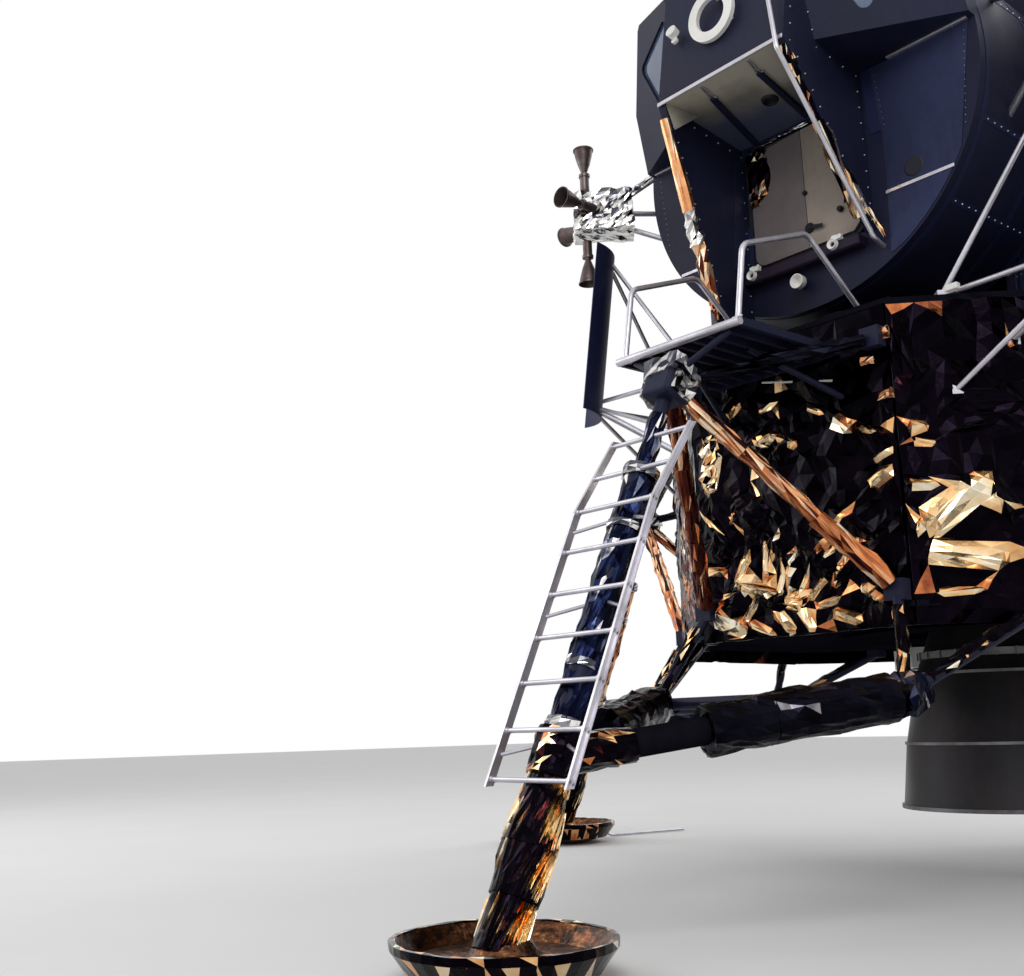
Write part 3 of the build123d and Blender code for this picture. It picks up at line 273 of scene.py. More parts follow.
def foil_material(name, tones, rough=0.22, wrinkle=16.0, relief=0.004):
    """Foil whose facets take their tone from the piece's face attribute: a painted highlight or painted shade on each
    facet, partly the real gold and black of the foil.
    """
    material, tree, shader = new_material(name)
    if tree:
        tone = node(tree, "ShaderNodeAttribute", attribute_name="tone")
        wrinkles = placed_group(tree, wrinkle_group(), Scale=wrinkle)
        place = tree.nodes.new("ShaderNodeTexCoord").outputs["Object"]
        drift = noise_of(tree, place, 9.0, 4.0)
        shifted = math_node(tree, "ADD", tone.outputs["Fac"],
                            math_node(tree, "MULTIPLY", math_node(tree, "SUBTRACT", drift, 0.5), 0.35))
        ramp = ramp_of(tree, tones)
        wire(tree, shifted, ramp.inputs[0])
        wire(tree, ramp.outputs[0], shader.inputs["Base Color"])
        shader.inputs["Metallic"].default_value = 1.0
        span = tree.nodes.new("ShaderNodeMapRange")
        wire(tree, drift, span.inputs["Value"])
        span.inputs["From Min"].default_value, span.inputs["From Max"].default_value = 0.3, 0.7
        span.inputs["To Min"].default_value, span.inputs["To Max"].default_value = rough * 0.6, rough * 1.5
        wire(tree, span.outputs[0], shader.inputs["Roughness"])
        bumped(tree, shader, wrinkles.outputs["Height"], relief)
    return material


def sheet_material(name, base, stain, metal=0.0, smooth=0.35, rough=0.6, blotch=1.6, grain=90.0,
                   relief=0.0006, coat=0.0, specular=0.5):
    """Painted or bare sheet with blotches, streaks and a fine grain."""
    material, tree, shader = new_material(name)
    if tree:
        weather = placed_group(tree, weather_group(), Base=base, Stain=stain, Blotch=blotch,
                               Grain=grain, Smooth=smooth, Rough=rough)
        wire(tree, weather.outputs["Color"], shader.inputs["Base Color"])
        wire(tree, weather.outputs["Roughness"], shader.inputs["Roughness"])
        shader.inputs["Metallic"].default_value = metal
        shader.inputs["Coat Weight"].default_value = coat
        shader.inputs["Specular IOR Level"].default_value = specular
        bumped(tree, shader, weather.outputs["Height"], relief)
    return material


def foil_gold():
    foil = settings().foil
    return foil_material("gold foil", [(0.0, foil.dark), (0.44, (0.005, 0.003, 0.006)), (0.55, (0.19, 0.030, 0.026)),
                                       (0.66, foil.copper), (0.78, foil.gold), (0.92, (0.95, 0.74, 0.46)),
                                       (1.0, (0.97, 0.88, 0.70))])


def foil_copper():
    foil = settings().foil
    return foil_material("copper foil", [(0.0, (0.02, 0.006, 0.008)), (0.40, (0.12, 0.025, 0.014)),
                                         (0.62, foil.copper), (0.80, (0.85, 0.40, 0.18)), (1.0, (0.96, 0.80, 0.58))],
                         rough=0.26, wrinkle=18.0)


def foil_black():
    return foil_material("black foil", [(0.0, (0.003, 0.003, 0.005)), (0.6, (0.007, 0.007, 0.014)),
                                        (0.85, (0.04, 0.042, 0.07)), (1.0, (0.45, 0.42, 0.44))],
                         rough=0.3, wrinkle=16.0)


def foil_navy():
    return foil_material("navy foil", [(0.0, (0.002, 0.002, 0.006)), (0.45, (0.006, 0.009, 0.030)),
                                       (0.66, (0.02, 0.03, 0.09)), (0.86, (0.18, 0.20, 0.28)), (1.0, (0.85, 0.82, 0.80))],
                         rough=0.28, wrinkle=20.0)


def foil_silver():
    foil = settings().foil
    return foil_material("silver foil", [(0.0, (0.03, 0.03, 0.045)), (0.35, (0.13, 0.13, 0.15)),
                                         (0.60, (0.45, 0.44, 0.42)), (0.85, foil.silver), (1.0, (0.95, 0.94, 0.92))],
                         rough=0.2, wrinkle=22.0)


def dull(colour, share):
    return tuple(channel * share for channel in colour)


def grey_panel():
    colour = settings().paint.panel
    return sheet_material("grey panel", colour, dull(colour, 0.6), metal=0.75, smooth=0.38, rough=0.62)


def dark_panel():
    colour = settings().paint.shade
    return sheet_material("dark panel", colour, dull(colour, 2.0), metal=0.2, smooth=0.38, rough=0.62, specular=0.2)


# Dead black without gloss: painted shade on the underside, the secondary struts and pistons and the shield foil, which
# hang in shadow.
def painted_shade_black():
    return sheet_material("painted_shade_black", (0.004, 0.004, 0.007), (0.008, 0.008, 0.012), smooth=0.8, rough=1.0,
                          specular=0.0)


def navy_panel():
    return sheet_material("navy panel", (0.010, 0.013, 0.050), (0.016, 0.018, 0.055), metal=0.2, smooth=0.38,
                          rough=0.6, specular=0.2)


def sill_purple():
    return sheet_material("sill", (0.022, 0.011, 0.026), (0.012, 0.008, 0.02), metal=0.2, smooth=0.38, rough=0.6,
                          specular=0.2)


def hatch_brown():
    colour = settings().paint.hatch
    return sheet_material("hatch panel", colour, dull(colour, 0.72), metal=0.2, smooth=0.42, rough=0.66, blotch=3.0)


def roof_sheet():
    """The recess roof: tan at the lip, darkened by painted shade to blue-grey towards the back and starboard."""
    material, tree, shader = new_material("roof sheet")
    if tree:
        paint = settings().paint
        place = tree.nodes.new("ShaderNodeTexCoord").outputs["Object"]
        split = tree.nodes.new("ShaderNodeSeparateXYZ")
        wire(tree, place, split.inputs[0])
        drift = math_node(tree, "MULTIPLY", noise_of(tree, place, 5.0, 5.0), 0.5)
        run = math_node(tree, "ADD", math_node(tree, "MULTIPLY", split.outputs[1], 1.3), 2.98)
        run = math_node(tree, "ADD", run, math_node(tree, "MULTIPLY", split.outputs[0], -0.5))
        shade = ramp_of(tree, [(0.0, tuple(paint.roof)), (0.22, dull(paint.roof, 0.5)), (0.5, (0.060, 0.072, 0.130))])
        wire(tree, math_node(tree, "ADD", run, math_node(tree, "SUBTRACT", drift, 0.25)), shade.inputs[0])
        wire(tree, shade.outputs[0], shader.inputs["Base Color"])
        shader.inputs["Metallic"].default_value = 0.25
        shader.inputs["Roughness"].default_value = 0.55
        bumped(tree, shader, noise_of(tree, place, 140.0, 4.0), 0.0005)
    return material


def tan_panel():
    colour = settings().paint.tan
    return sheet_material("tan panel", colour, dull(colour, 0.66), metal=0.25, smooth=0.4, rough=0.65, blotch=2.4)


def bare_alloy():
    colour = settings().paint.alloy
    return sheet_material("bare alloy", colour, dull(colour, 0.72), metal=0.85, smooth=0.26, rough=0.46,
                          blotch=5.0, grain=160.0, relief=0.0003)


def white_paint():
    colour = settings().paint.white
    return sheet_material("white paint", colour, dull(colour, 0.82), smooth=0.42, rough=0.62, blotch=3.0)


def black_paint():
    return sheet_material("black paint", (0.006, 0.006, 0.010), (0.018, 0.018, 0.026), smooth=0.42, rough=0.7,
                          specular=0.25)


def engine_metal():
    return sheet_material("engine metal", (0.20, 0.20, 0.21), (0.09, 0.085, 0.085), metal=0.8, smooth=0.35,
                          rough=0.6, blotch=4.0)


def foil_dull():
    """Crumpled foil by bump alone, for a solid that has no facets of its own."""
    material, tree, shader = new_material("dull foil")
    if tree:
        place = tree.nodes.new("ShaderNodeTexCoord").outputs["Object"]
        wrinkles = placed_group(tree, wrinkle_group(), Scale=30.0)
        tint_of = ramp_of(tree, [(0.42, (0.030, 0.018, 0.014)), (0.60, (0.20, 0.08, 0.035)), (0.75, (0.62, 0.36, 0.16))])
        wire(tree, noise_of(tree, place, 14.0, 5.0, 0.7, (1.0, 1.0, 2.2)), tint_of.inputs[0])
        wire(tree, tint_of.outputs[0], shader.inputs["Base Color"])
        shader.inputs["Metallic"].default_value = 1.0
        shader.inputs["Roughness"].default_value = 0.3
        bumped(tree, shader, wrinkles.outputs["Height"], 0.012)
    return material


def thruster_metal():
    return sheet_material("thruster metal", (0.16, 0.13, 0.125), (0.06, 0.035, 0.035), metal=0.7, smooth=0.3,
                          rough=0.5, blotch=6.0)


def burnt_nozzle():
    return sheet_material("burnt nozzle", (0.010, 0.009, 0.012), (0.026, 0.021, 0.024), metal=0.55, smooth=0.32,
                          rough=0.58, blotch=2.2)


def window_glass():
    material, tree, shader = new_material("window glass")
    if tree:
        place = tree.nodes.new("ShaderNodeTexCoord").outputs["Object"]
        haze = ramp_of(tree, [(0.3, (0.10, 0.16, 0.30)), (0.7, (0.24, 0.34, 0.55))])
        wire(tree, noise_of(tree, place, 3.0, 3.0), haze.inputs[0])
        wire(tree, haze.outputs[0], shader.inputs["Base Color"])
        shader.inputs["Roughness"].default_value = 0.05
        shader.inputs["Transmission Weight"].default_value = 0.6
        shader.inputs["Coat Weight"].default_value = 0.5
    return material


# Shapes
def lay_along(start, end):
    """Puts a shape made about the origin along Z between two points, its middle halfway."""
    start, end = Vector(start), Vector(end)
    turn = (end - start).to_track_quat("Z", "Y").to_matrix().to_4x4()
    return Matrix.Translation((start + end) / 2) @ turn


def add_box(bm, centre, size, turn=None, soften=0.0, segments=1):
    place = Matrix.Translation(centre) @ (turn or Matrix()) @ Matrix.Diagonal((*size, 1))
    made = bmesh.ops.create_cube(bm, size=1.0, matrix=place)["verts"]
    if soften:
        edges = list({edge for vert in made for edge in vert.link_edges})
        bmesh.ops.bevel(bm, geom=edges, offset=soften, segments=segments, affect="EDGES", profile=0.5,
                        material=-1)


def add_rod(bm, start, end, radius, sides=14, far_radius=None):
    length = (Vector(end) - Vector(start)).length
    far = radius if far_radius is None else far_radius
    return bmesh.ops.create_cone(bm, cap_ends=True, segments=sides, radius1=radius, radius2=far,
                                 depth=length, matrix=lay_along(start, end))["verts"]


def add_ball(bm, centre, radius, sides=14):
    bmesh.ops.create_uvsphere(bm, u_segments=sides, v_segments=sides // 2, radius=radius,
                              matrix=Matrix.Translation(centre))


def joined(bm, part, place=None):
    """Moves a part to its place and adds it to the piece being made."""
    bmesh.ops.transform(part, matrix=place or Matrix(), verts=part.verts)
    bmesh.ops.recalc_face_normals(part, faces=part.faces)
    mesh = bpy.data.meshes.new("part")
    part.to_mesh(mesh)
    part.free()
    bm.from_mesh(mesh)
    bpy.data.meshes.remove(mesh)


def add_turned(bm, profile, place=None, steps=32, closed=False):
    """Spins a profile of radius and height about Z; a closed one is a ring."""
    part = bmesh.new()
    verts = [part.verts.new((radius, 0, height)) for radius, height in profile]
    edges = [part.edges.new(pair) for pair in zip(verts, verts[1:])]
    if closed:
        edges.append(part.edges.new((verts[-1], verts[0])))
    bmesh.ops.spin(part, geom=verts + edges, cent=(0, 0, 0), axis=(0, 0, 1), angle=2 * math.pi,
                   steps=steps, use_merge=True)
    bmesh.ops.remove_doubles(part, verts=part.verts, dist=1e-5)
    joined(bm, part, place)


def add_bent_tube(bm, points, radius, sides=2):
    """A round bar along a smooth line through the points."""
    curve = bpy.data.curves.new("path", "CURVE")
    curve.dimensions, curve.bevel_depth, curve.bevel_resolution = "3D", radius, sides
    curve.use_fill_caps = True
    spline = curve.splines.new("NURBS")
    spline.points.add(len(points) - 1)
    for vert, point in zip(spline.points, points):
        vert.co = (*point, 1.0)
    spline.order_u, spline.use_endpoint_u, spline.resolution_u = 3, True, 4
    holder = bpy.data.objects.new("path", curve)
    mesh = bpy.data.meshes.new_from_object(holder)
    bm.from_mesh(mesh)
    bpy.data.objects.remove(holder)
    bpy.data.curves.remove(curve)
    bpy.data.meshes.remove(mesh)


def add_rivets(bm, start, end, count, radius, out):
    """A row of low round heads on a surface that faces out."""
    out = Vector(out).normalized()
    across = out.orthogonal().normalized()
    beside = out.cross(across)
    around = [(math.cos(math.pi * turn / 4), math.sin(math.pi * turn / 4)) for turn in range(8)]
    for step in range(count):
        place = Vector(start).lerp(Vector(end), step / max(1, count - 1))
        low, high = ([bm.verts.new(place + out * rise + (across * x + beside * y) * reach) for x, y in around]
                     for rise, reach in ((-radius * 0.4, radius), (radius * 0.7, radius * 0.55)))
        bm.faces.new(high)
        bm.faces.new(reversed(low))
        for index in range(8):
            bm.faces.new((low[index - 1], low[index], high[index], high[index - 1]))


def finish_piece(bm, name, material, body="module", replaces=(), sharp=math.radians(35)):
    mesh = bpy.data.meshes.new(name)
    bm.to_mesh(mesh)
    bm.free()
    piece = bpy.data.objects.new(name, mesh)
    bpy.context.collection.objects.link(piece)
    mesh.materials.append(material)
    if sharp:
        mesh.shade_smooth()
        mesh.set_sharp_from_angle(angle=sharp)
    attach(piece, body)
    if replaces:
        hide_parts(*replaces)
    return piece


# Foil
def lit_tone(dark_share, low=0.62):
    """A tone picker: mostly black facets, painted shade and partly real black foil; the rest painted highlights between
    copper and pale gold.
    """
    def tone(picker):
        return picker.uniform(0.0, 0.45) if picker.random() < dark_share else picker.uniform(low, 1.0)
    return tone


def even_tone(low, high):
    return lambda picker: picker.uniform(low, high)


def tint(face, layer, tone, crest=None):
    """Writes a facet's tone on its corners, with a painted highlight a little brighter towards the crest of a fold."""
    for loop in face.loops:
        lift = 0.0 if crest is None else 0.16 * (crest(loop.vert) - 0.55)
        loop[layer] = min(1.0, max(0.0, tone + lift))


def fine_crumple(part, picker, fractal, levels=1):
    """Breaks every facet into smaller ones that stand a little out of it."""
    for level in range(levels):
        part.normal_update()
        bmesh.ops.subdivide_edges(part, edges=part.edges[:], cuts=1, fractal=fractal, along_normal=1.0,
                                  seed=picker.randrange(9999), use_grid_fill=True)
        bmesh.ops.triangulate(part, faces=part.faces, quad_method="BEAUTY", ngon_method="BEAUTY")


class Fold:
    """A long ridge of a crumpled blanket: flat sides, a level crest and tapering ends."""

    def __init__(self, centre, angle, half_length, half_width, height, lit, shoulder=0.5):
        self.centre, self.along = Vector(centre), Vector((math.cos(angle), math.sin(angle)))
        self.half_length, self.half_width, self.height, self.lit = half_length, half_width, height, lit
        self.shoulder = shoulder

    def local(self, point):
        run = Vector(point) - self.centre
        return run.dot(self.along), self.along.x * run.y - self.along.y * run.x

    def rise(self, point):
        run, side = self.local(point)
        taper = min(1.0, (1 - abs(run) / self.half_length) / (1 - self.shoulder))
        return self.height * max(0.0, taper - abs(side) / self.half_width)

    def tone(self, point):
        return self.lit[0 if self.local(point)[1] < 0 else 1]

    def outline(self, picker):
        """Corner points, a little out of true, and the pairs of them that are creases."""
        span, wide, level = self.half_length, self.half_width, self.half_length * self.shoulder
        local = [(-span, 0), (-level, 0), (level, 0), (span, 0), (-level, wide), (level, wide),
                 (-level, -wide), (level, -wide)]
        square = Vector((-self.along.y, self.along.x))
        points = []
        for run, side in local:
            run += picker.uniform(-0.16, 0.16) * span
            side += picker.uniform(-0.35, 0.35) * wide
            points.append(self.centre + self.along * run + square * side)
        return points, [(0, 1), (1, 2), (2, 3), (0, 4), (4, 5), (5, 3), (0, 6), (6, 7), (7, 3)]


def random_folds(width, height, count, picker, lit_share=0.3, size=1.0, depth=0.05, slope=None):
    """Folds strewn over a sheet, their sides painted dark; the side that looks down is the one that gets a painted
    highlight, standing for the lit ground it would reflect.
    """
    folds = []
    for index in range(count):
        centre = (picker.uniform(-0.5, 0.5) * width, picker.uniform(-0.5, 0.5) * height)
        angle = picker.uniform(0, math.pi) if slope is None else picker.gauss(slope, 0.5)
        long = picker.uniform(0.06, 0.26) * size
        wide = long * picker.uniform(0.22, 0.5)
        low_side = 0 if math.cos(angle) > 0 else 1
        lit = [picker.uniform(0.0, 0.42), picker.uniform(0.0, 0.42)]
        if picker.random() < lit_share:
            lit[low_side] = picker.uniform(0.66, 1.0)
        if picker.random() < lit_share * 0.25:
            lit[1 - low_side] = picker.uniform(0.55, 0.8)
        folds.append(Fold(centre, angle, long, wide, min(depth, wide * 0.8), lit))
    return folds


def inside(point, half_wide, half_high):
    return abs(point[0]) < half_wide and abs(point[1]) < half_high


def held(point, half_wide, half_high):
    """The point, or the nearest one inside a sheet's rim."""
    return Vector((max(-half_wide, min(half_wide, point[0])), max(-half_high, min(half_high, point[1]))))


def folded_sheet(width, height, folds, picker, depth=0.02, spacing=0.13, fractal=0.9, levels=1, floor=0.3):
    """A closed blanket in the XZ plane, its front toward -Y: loose facets with long folds laid over."""
    half_wide, half_high = width / 2, height / 2
    across, up = max(2, round(width / spacing)), max(2, round(height / spacing))
    points, creases = [], []
    for column in range(across + 1):
        for row in range(up + 1):
            x, z = (column / across - 0.5) * width, (row / up - 0.5) * height
            if 0 < column < across and 0 < row < up:
                x += picker.uniform(-0.4, 0.4) * width / across
                z += picker.uniform(-0.4, 0.4) * height / up
            points.append(Vector((x, z)))
    kept = []
    for fold in folds:
        corners, pairs = fold.outline(picker)
        if inside(fold.centre, half_wide - 0.02, half_high - 0.02):
            creases += [(len(points) + first, len(points) + last) for first, last in pairs]
            points += [held(corner, half_wide - 0.012, half_high - 0.012) for corner in corners]
            kept.append(fold)
    flat, _, faces, *_ = delaunay_2d_cdt(points, creases, [], 0, 1e-4)
    part = bmesh.new()
    layer = part.loops.layers.float.new("tone")
    rises = {}
    verts = []
    for point in flat:
        rim = min(half_wide - abs(point.x), half_high - abs(point.y))
        top = max((fold.rise(point) for fold in kept), default=0.0)
        loose = picker.uniform(0.2, 1.0) * depth
        vert = part.verts.new((point.x, -(top + loose) * min(1.0, max(0.0, rim) / 0.03) - 0.003, point.y))
        rises[vert] = top
        verts.append(vert)
    # Facets on a fold take that side's painted highlight or painted shade, brighter at the crest; the rest are painted
    # dark, partly real black foil, a few small ones with a painted glint.
    for corners in faces:
        face = part.faces.new([verts[index] for index in corners])
        centre = face.calc_center_median()
        top = max(kept, key=lambda fold: fold.rise((centre.x, centre.z)), default=None)
        if top and top.rise((centre.x, centre.z)) > 0.003:
            tone = top.tone((centre.x, centre.z)) + picker.uniform(-0.06, 0.06)
            tint(face, layer, tone, lambda vert: min(1.0, rises[vert] / max(0.01, top.height)))
        else:
            small = face.calc_area() < 0.35 * spacing * spacing
            tint(face, layer, picker.uniform(0.62, 0.84) if small and picker.random() < 0.05 else
                 picker.uniform(0.0, floor))
    fine_crumple(part, picker, fractal, levels)
    for vert in part.verts:
        vert.co.x = max(-half_wide, min(half_wide, vert.co.x))
        vert.co.z = max(-half_high, min(half_high, vert.co.z))
        vert.co.y = min(vert.co.y, -0.002)
    closed_back(part)
    return part


def closed_back(part):
    """Walls a sheet's border back to the plane y = 0 and closes it there."""
    border = [edge for edge in part.edges if edge.is_boundary]
    wall = bmesh.ops.extrude_edge_only(part, edges=border)["geom"]
    for vert in (item for item in wall if isinstance(item, bmesh.types.BMVert)):
        vert.co.y = 0.0
    bmesh.ops.contextual_create(part, geom=[edge for edge in part.edges if edge.is_boundary])


def crumpled_sleeve(start, end, radius, picker, facet=0.2, rough=0.2, tone=lit_tone(0.5), far=None, sides=9,
                    levels=1, fractal=0.7, streak=0.0):
    """A closed foil sleeve round a tube, creased into long facets whose tone may run on along it."""
    start, end = Vector(start), Vector(end)
    length = (end - start).length
    far = radius if far is None else far
    rings = max(1, round(length / facet))
    part = bmesh.new()
    layer = part.loops.layers.float.new("tone")
    bmesh.ops.create_cone(part, cap_ends=True, segments=sides, radius1=radius, radius2=far, depth=length)
    along = [edge for edge in part.edges if abs(edge.verts[0].co.z - edge.verts[1].co.z) > length / 2]
    bmesh.ops.subdivide_edges(part, edges=along, cuts=rings, use_grid_fill=True)
    for vert in part.verts:
        if abs(vert.co.z) < length / 2 - 1e-4:
            swell = 1 + picker.uniform(-rough, rough)
            vert.co.x, vert.co.y = vert.co.x * swell, vert.co.y * swell
            vert.co.z += picker.uniform(-0.45, 0.45) * length / (rings + 1)
    bmesh.ops.triangulate(part, faces=part.faces, quad_method="ALTERNATE", ngon_method="BEAUTY")
    columns = [tone(picker) for _ in range(sides)]
    for face in part.faces:
        centre = face.calc_center_median()
        column = columns[int((math.atan2(centre.y, centre.x) / (2 * math.pi) % 1) * sides) % sides]
        tint(face, layer, column + picker.uniform(-0.08, 0.08) if picker.random() < streak else tone(picker))
    fine_crumple(part, picker, fractal, levels)
    bmesh.ops.transform(part, matrix=lay_along(start, end), verts=part.verts)
    return part


def crumpled_block(size, picker, facet=0.08, depth=0.012, tone=lit_tone(0.5), levels=1, fractal=0.9):
    """A closed box of foil about the origin, its sides crumpled."""
    part = bmesh.new()
    layer = part.loops.layers.float.new("tone")
    bmesh.ops.create_cube(part, size=1.0, matrix=Matrix.Diagonal((*size, 1)))
    for axis in range(3):
        along = [edge for edge in part.edges
                 if abs((edge.verts[0].co - edge.verts[1].co)[axis]) > size[axis] * 0.9]
        bmesh.ops.subdivide_edges(part, edges=along, cuts=max(1, round(size[axis] / facet) - 1),
                                  use_grid_fill=True)
    for vert in part.verts:
        vert.co += Vector([picker.uniform(-1, 1) * depth for _ in range(3)])
    bmesh.ops.triangulate(part, faces=part.faces, quad_method="ALTERNATE", ngon_method="BEAUTY")
    for face in part.faces:
        tint(face, layer, tone(picker))
    fine_crumple(part, picker, fractal, levels)
    return part


# The stage
class LANDER_OT_stage(bpy.types.Operator):
    """Lay the floor, light it evenly and set up the camera"""
    bl_idname = "lander.stage"
    bl_label = "Stage"

    def execute(self, context):
        chosen = settings().stage
        bm = bmesh.new()
        bmesh.ops.create_grid(bm, x_segments=1, y_segments=1, size=60.0,
                              matrix=Matrix.Translation((0, 0, -0.002)))
        mesh = bpy.data.meshes.new("floor")
        bm.to_mesh(mesh)
        bm.free()
        floor = bpy.data.objects.new("floor", mesh)
        context.collection.objects.link(floor)
        mesh.materials.append(floor_material(chosen.floor_colour))
        light_world(context.scene, chosen.daylight)
        # columns: name, place, size, watts
        for name, place, size, watts in (("key", (9, -13, 11), 7.0, 900), ("fill", (-12, -9, 8), 9.0, 420),
                                         ("rear", (2, 13, 10), 9.0, 480)):
            lamp = bpy.data.lights.new(name, "AREA")
            lamp.shape, lamp.size, lamp.energy = "DISK", size, watts
            holder = bpy.data.objects.new(name, lamp)
            holder.location = place
            holder.rotation_euler = (Vector((0, 0, 3)) - Vector(place)).to_track_quat("-Z", "Y").to_euler()
            context.collection.objects.link(holder)
        set_camera(context, chosen)
        context.scene.view_settings.view_transform = "Standard"
        return {"FINISHED"}


def floor_material(colour):
    material, tree, shader = new_material("pale floor")
    if tree:
        place = tree.nodes.new("ShaderNodeTexCoord").outputs["Object"]
        tint = ramp_of(tree, [(0.3, dull(colour, 0.97)), (0.7, tuple(colour))])
        wire(tree, noise_of(tree, place, 0.6, 4.0), tint.inputs[0])
        wire(tree, tint.outputs[0], shader.inputs["Base Color"])
        shader.inputs["Roughness"].default_value = 0.85
    return material


def light_world(scene, strength):
    """Even light on the object, and white where the camera, glass or metal sees past it."""
    world = bpy.data.worlds.new("room")
    world.use_nodes = True
    tree = world.node_tree
    background = tree.nodes["Background"]
    background.inputs["Color"].default_value = (1, 1, 1, 1)
    path = tree.nodes.new("ShaderNodeLightPath")
    seen = math_node(tree, "MAXIMUM", path.outputs["Is Camera Ray"], path.outputs["Is Glossy Ray"])
    seen = math_node(tree, "MAXIMUM", seen, path.outputs["Is Transmission Ray"])
    span = tree.nodes.new("ShaderNodeMapRange")
    wire(tree, seen, span.inputs["Value"])
    span.inputs["To Min"].default_value = strength
    span.inputs["To Max"].default_value = 1.0
    wire(tree, span.outputs[0], background.inputs["Strength"])
    scene.world = world


def set_camera(context, chosen):
    """The photograph's camera: its right, down and forward directions were solved from the ladder."""
    right = Vector((0.62529, 0.78003, -0.02393))
    down = Vector((-0.17405, 0.10949, -0.97863))
    ahead = Vector((-0.76074, 0.61609, 0.20422))
    lens = bpy.data.cameras.new("camera")
    lens.sensor_width, lens.sensor_fit, lens.lens = 36.0, "HORIZONTAL", chosen.lens
    lens.shift_x, lens.shift_y = 33 / 1024, -1 / 1024
    lens.clip_end = 200
    camera = bpy.data.objects.new("camera", lens)
    turn = Matrix((right, -down, -ahead)).transposed().to_4x4()
    camera.matrix_world = Matrix.Translation(chosen.camera_place) @ turn
    context.collection.objects.link(camera)
    context.scene.camera = camera


# Finishes of the frame's own nodes
def finishes():
    return {
        "foil_gold": foil_gold, "foil_copper": foil_copper, "black_paint": dark_panel,
        "grey_panel": grey_panel, "tunnel_black": black_paint, "alloy": bare_alloy,
        "engine_metal": engine_metal, "nozzle_black": burnt_nozzle, "foil_silver": foil_silver,
        "white_paint": white_paint, "window_glass": window_glass,
    }


NODE_FINISH = {
    # The secondary cylinders and pistons, the descent decks and the base shield take dead black as painted shade.
    "forward_hatch": black_paint, "primary_cylinders": dark_panel, "secondary_cylinders": painted_shade_black,
    "deployment_trusses": dark_panel, "primary_pistons": bare_alloy, "secondary_pistons": painted_shade_black,
    "aft_bay": dark_panel, "midsection": dark_panel, "plume_deflectors": navy_panel, "truss_ends": dark_panel,
    "footpads": foil_dull,
    "cabin_shell": dark_panel, "descent_decks": painted_shade_black, "base_shield": painted_shade_black,
    "front_face": dark_panel, "leg_fittings": dark_panel, "porch_struts": dark_panel, "rcs_nozzles": thruster_metal,
    "landing_radar": white_paint, "fuel_fairing": dark_panel, "oxidizer_fairing": dark_panel,
}


class LANDER_OT_finishes(bpy.types.Operator):
    """Give every node of the frame its finish"""
    bl_idname = "lander.finishes"
    bl_label = "Finishes"

    def execute(self, context):
        made = finishes()
        slots = {part["node"]: part["material_slot"] for part in frame["record"]["subparts"]}
        for name, thing in frame["nodes"].items():
            material = NODE_FINISH.get(name, made[slots[name]])()
            if not thing.material_slots:
                thing.data.materials.append(material)
            for slot in thing.material_slots:
                slot.material = material
        return {"FINISHED"}


# Descent stage
BAY_WIDE, BAY_LOW, BAY_HIGH, BAY_FRONT = 1.368, 1.605, 3.196, 2.055
CORNER_REACH, CORNER_HALF = 1.9368, 0.9609


def at_face(reach, level, turn):
    """Places a sheet made in the XZ plane, facing -Y, on the side of the body that a turn names."""
    front = Matrix.Rotation(turn + math.pi / 2, 4, "Z")
    return front @ Matrix.Translation((0, -reach, level))


# Large lit folds of the front bay and of the port corner, measured on the photograph
# columns: across, up from the bay's middle (m), lean (degrees), half length, half width
FRONT_FOLDS = ((-0.34, 0.43, 42, 0.06, 0.026), (-0.11, 0.40, 12, 0.07, 0.022), (-0.14, 0.21, 15, 0.09, 0.036),
               (0.01, 0.18, -31, 0.09, 0.026), (-0.59, 0.24, 19, 0.05, 0.028), (-0.53, 0.09, 69, 0.17, 0.046),
               (-0.52, -0.25, -42, 0.17, 0.028), (-0.41, -0.20, 75, 0.07, 0.016), (0.21, 0.31, -30, 0.06, 0.018),
               (0.39, 0.19, -43, 0.08, 0.050), (0.55, 0.12, -19, 0.10, 0.020), (0.60, -0.02, 28, 0.07, 0.027),
               (0.58, -0.14, 30, 0.09, 0.033), (-0.55, -0.50, -7, 0.08, 0.025), (-0.27, -0.62, -22, 0.14, 0.080),
               (-0.09, -0.58, 79, 0.16, 0.020), (-0.02, -0.56, 73, 0.15, 0.030), (0.09, -0.58, 56, 0.16, 0.018),
               (-0.47, -0.80, -25, 0.13, 0.085), (-0.08, -0.74, -7, 0.14, 0.030), (-0.10, -0.84, -50, 0.12, 0.046),
               (0.05, -0.84, -63, 0.09, 0.026), (0.20, -0.76, 19, 0.08, 0.020), (0.28, -0.62, 67, 0.09, 0.022),
               (0.31, -0.84, -23, 0.11, 0.026), (0.47, -0.74, -40, 0.10, 0.026), (-0.26, -0.86, -26, 0.11, 0.026),
               (0.21, -0.50, 32, 0.08, 0.018), (-0.36, -0.52, 62, 0.12, 0.030), (-0.20, -0.48, 84, 0.12, 0.022),
               (-0.42, -0.66, 10, 0.13, 0.030), (0.16, -0.66, 40, 0.13, 0.024), (-0.30, -0.74, 48, 0.12, 0.030),
               (0.02, -0.70, 8, 0.12, 0.026), (0.36, -0.50, 50, 0.10, 0.018), (-0.12, -0.40, 70, 0.10, 0.018))
CORNER_FOLDS = ((-0.70, -0.30, 33, 0.22, 0.088), (-0.68, -0.58, -7, 0.20, 0.068), (-0.87, -0.20, -5, 0.08, 0.030),
                (-0.83, 0.02, -6, 0.07, 0.018), (-0.87, -0.42, -7, 0.06, 0.048), (-0.86, 0.10, 4, 0.06, 0.036),
                (-0.74, -0.76, 4, 0.13, 0.022), (0.15, -0.35, 62, 0.20, 0.070), (0.52, 0.05, -35, 0.16, 0.050),
                (-0.20, 0.30, 20, 0.12, 0.040), (0.60, -0.62, 15, 0.18, 0.055), (0.05, -0.70, -20, 0.16, 0.045))
SKIRT = 0.13


